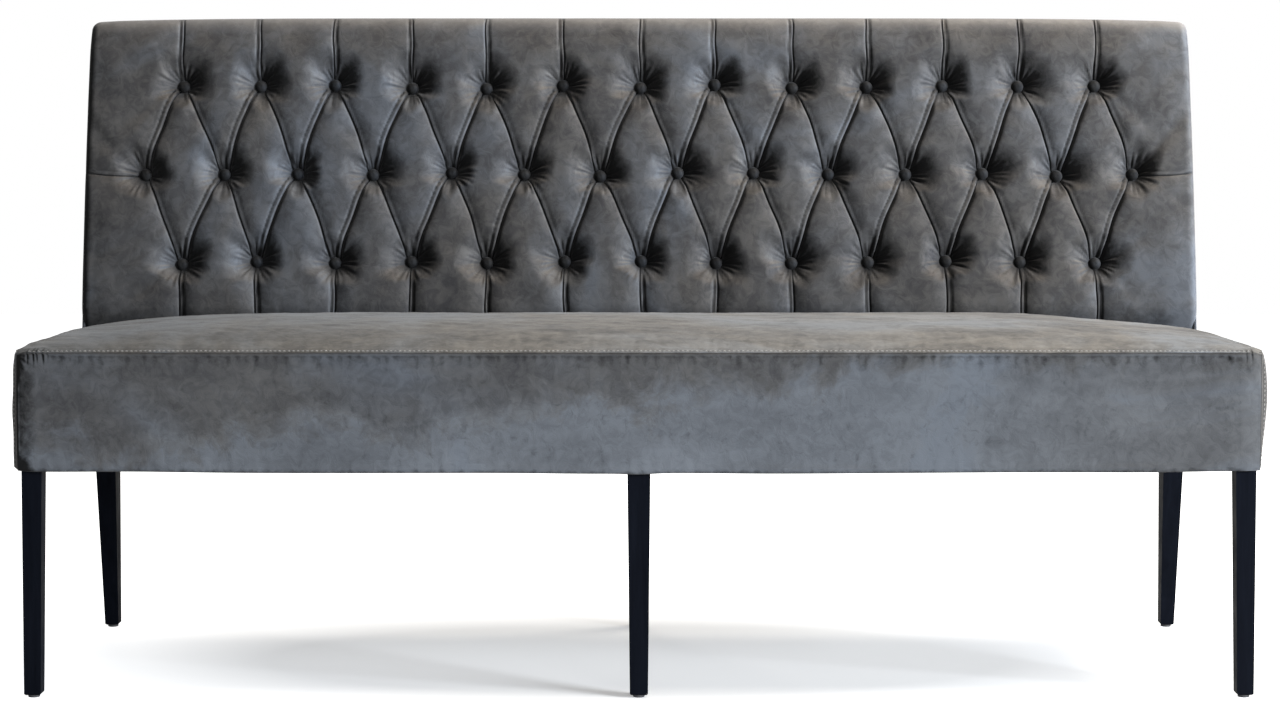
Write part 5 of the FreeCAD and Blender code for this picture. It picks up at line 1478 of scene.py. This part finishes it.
class BENCH_OT_stage(bpy.types.Operator):
    """Make the floor, the lamps and the camera"""
    bl_idname = "bench.stage"
    bl_label = "Stage"

    def execute(self, context):
        stage = settings(context)[3]
        scene = context.scene
        scene.view_settings.view_transform = "Standard"
        self.make_world(scene, stage)
        self.make_floor(scene, stage)
        for lamp in (("key", (5.2, -3.3, 1.9), (-0.2, 0.0, 0.6), stage.key_power, 2.2, (0.88, 0.94, 1.0)),
                     ("front", (1.2, -4.6, 2.0), (0.0, 0.0, 0.5), stage.front_power, 2.4, (0.94, 0.96, 1.0)),
                     ("overhead", (1.4, 0.0, 2.9), (0.1, -0.05, 0.5), stage.top_power, 2.2, (1.0, 0.93, 0.82)),
                     ("rear", (-0.9, 4.4, 2.2), (0.0, 0.3, 0.6), stage.rear_power, 2.4, (1.0, 0.97, 0.92))):
            self.make_lamp(scene, *lamp)
        data = bpy.data.cameras.new("photo_camera")
        data.lens = stage.lens
        data.sensor_width = 36.0
        data.shift_x, data.shift_y = stage.shift
        data.clip_end = 60.0
        camera = bpy.data.objects.new("photo_camera", data)
        camera.location = stage.place
        camera.rotation_euler = (math.pi / 2 - stage.pitch, 0.0, 0.0)
        scene.collection.objects.link(camera)
        scene.camera = camera
        return {"FINISHED"}

    def make_lamp(self, scene, name, place, target, power, size, tint):
        """An area lamp that faces a point."""
        data = bpy.data.lights.new(name, "AREA")
        data.energy, data.size, data.color = power, size, tint
        lamp = bpy.data.objects.new(name, data)
        lamp.location = place
        away = np.subtract(place, target)
        level = math.hypot(away[0], away[1])
        lamp.rotation_euler = (math.atan2(level, away[2]), 0.0, math.atan2(away[0], -away[1]))
        scene.collection.objects.link(lamp)

    def make_world(self, scene, stage):
        """Even light from all round, and plain white for what the camera sees."""
        world = bpy.data.worlds.new("studio")
        scene.world = world
        world.use_nodes = True
        tree = world.node_tree
        even = tree.nodes["Background"]
        feed(even, {"Color": (0.96, 0.98, 1.0), "Strength": stage.sky})
        white = add_node(tree, "Background", {"Color": WHITE, "Strength": 1.0})
        mix = add_node(tree, "MixShader", {0: seen(tree), 1: Value(tree, even.outputs[0]), 2: white})
        feed(tree.nodes["World Output"], {"Surface": mix})

    def make_floor(self, scene, stage):
        """A plain pale floor that keeps the bench's shadow and is white to the camera elsewhere."""
        half = 9.0
        mesh = bpy.data.meshes.new("studio_floor")
        mesh.from_pydata([(-half, -half, 0), (half, -half, 0), (half, half, 0), (-half, half, 0)], [], [(0, 1, 2, 3)])
        floor = bpy.data.objects.new("studio_floor", mesh)
        scene.collection.objects.link(floor)
        made, place = new_finish("studio_floor")
        away = place.times((0.87, 1.8, 1.0)).vector("LENGTH", ORIGIN, "Value")
        lift = away.remap(0.5, 1.0, stage.floor_lift, 1.05)
        feed(made.node_tree.nodes["Principled BSDF"], {
            "Base Color": place.noise(3.0).blend((0.80, 0.80, 0.81), (0.83, 0.83, 0.83)), "Roughness": 0.95,
            "Specular IOR Level": 0.0, "Emission Color": WHITE, "Emission Strength": seen(place.tree) * lift})
        mesh.materials.append(made)


class BENCH_PT_panel(bpy.types.Panel):
    """The bench's settings and pieces"""
    bl_idname = "BENCH_PT_panel"
    bl_label = "Upholstered bench"
    bl_space_type = "VIEW_3D"
    bl_region_type = "UI"
    bl_category = "Bench"

    def draw(self, context):
        layout = self.layout
        for title, group in zip(("Backrest", "Seat", "Finishes", "Stage"), settings(context)):
            box = layout.box()
            box.label(text=title)
            for name in group.__annotations__:
                box.prop(group, name)
        for operator in PIECES:
            layout.operator(operator.bl_idname)


PIECES = (BENCH_OT_tufted_back, BENCH_OT_buttons, BENCH_OT_back_border, BENCH_OT_seat, BENCH_OT_topstitch,
          BENCH_OT_dust_cover, BENCH_OT_frame_finishes, BENCH_OT_stage)
GROUPS = {"bench_back": BackrestSizes, "bench_seat": SeatSizes, "bench_finishes": Finishes,
          "bench_stage": StageSettings}


def register():
    """Registers the settings, the operators and the panel."""
    for name, group in GROUPS.items():
        bpy.utils.register_class(group)
        setattr(bpy.types.Scene, name, bpy.props.PointerProperty(type=group))
    for operator in PIECES:
        bpy.utils.register_class(operator)
    bpy.utils.register_class(BENCH_PT_panel)


def unregister():
    """Takes away what register added."""
    bpy.utils.unregister_class(BENCH_PT_panel)
    for operator in reversed(PIECES):
        bpy.utils.unregister_class(operator)
    for name, group in GROUPS.items():
        delattr(bpy.types.Scene, name)
        bpy.utils.unregister_class(group)


def main():
    """Makes every piece in order."""
    register()
    bpy.ops.bench.tufted_back()
    bpy.ops.bench.buttons()
    bpy.ops.bench.back_border()
    bpy.ops.bench.seat()
    bpy.ops.bench.topstitch()
    bpy.ops.bench.dust_cover()
    bpy.ops.bench.frame_finishes()
    bpy.ops.bench.stage()


if __name__ == "__main__":
    main()
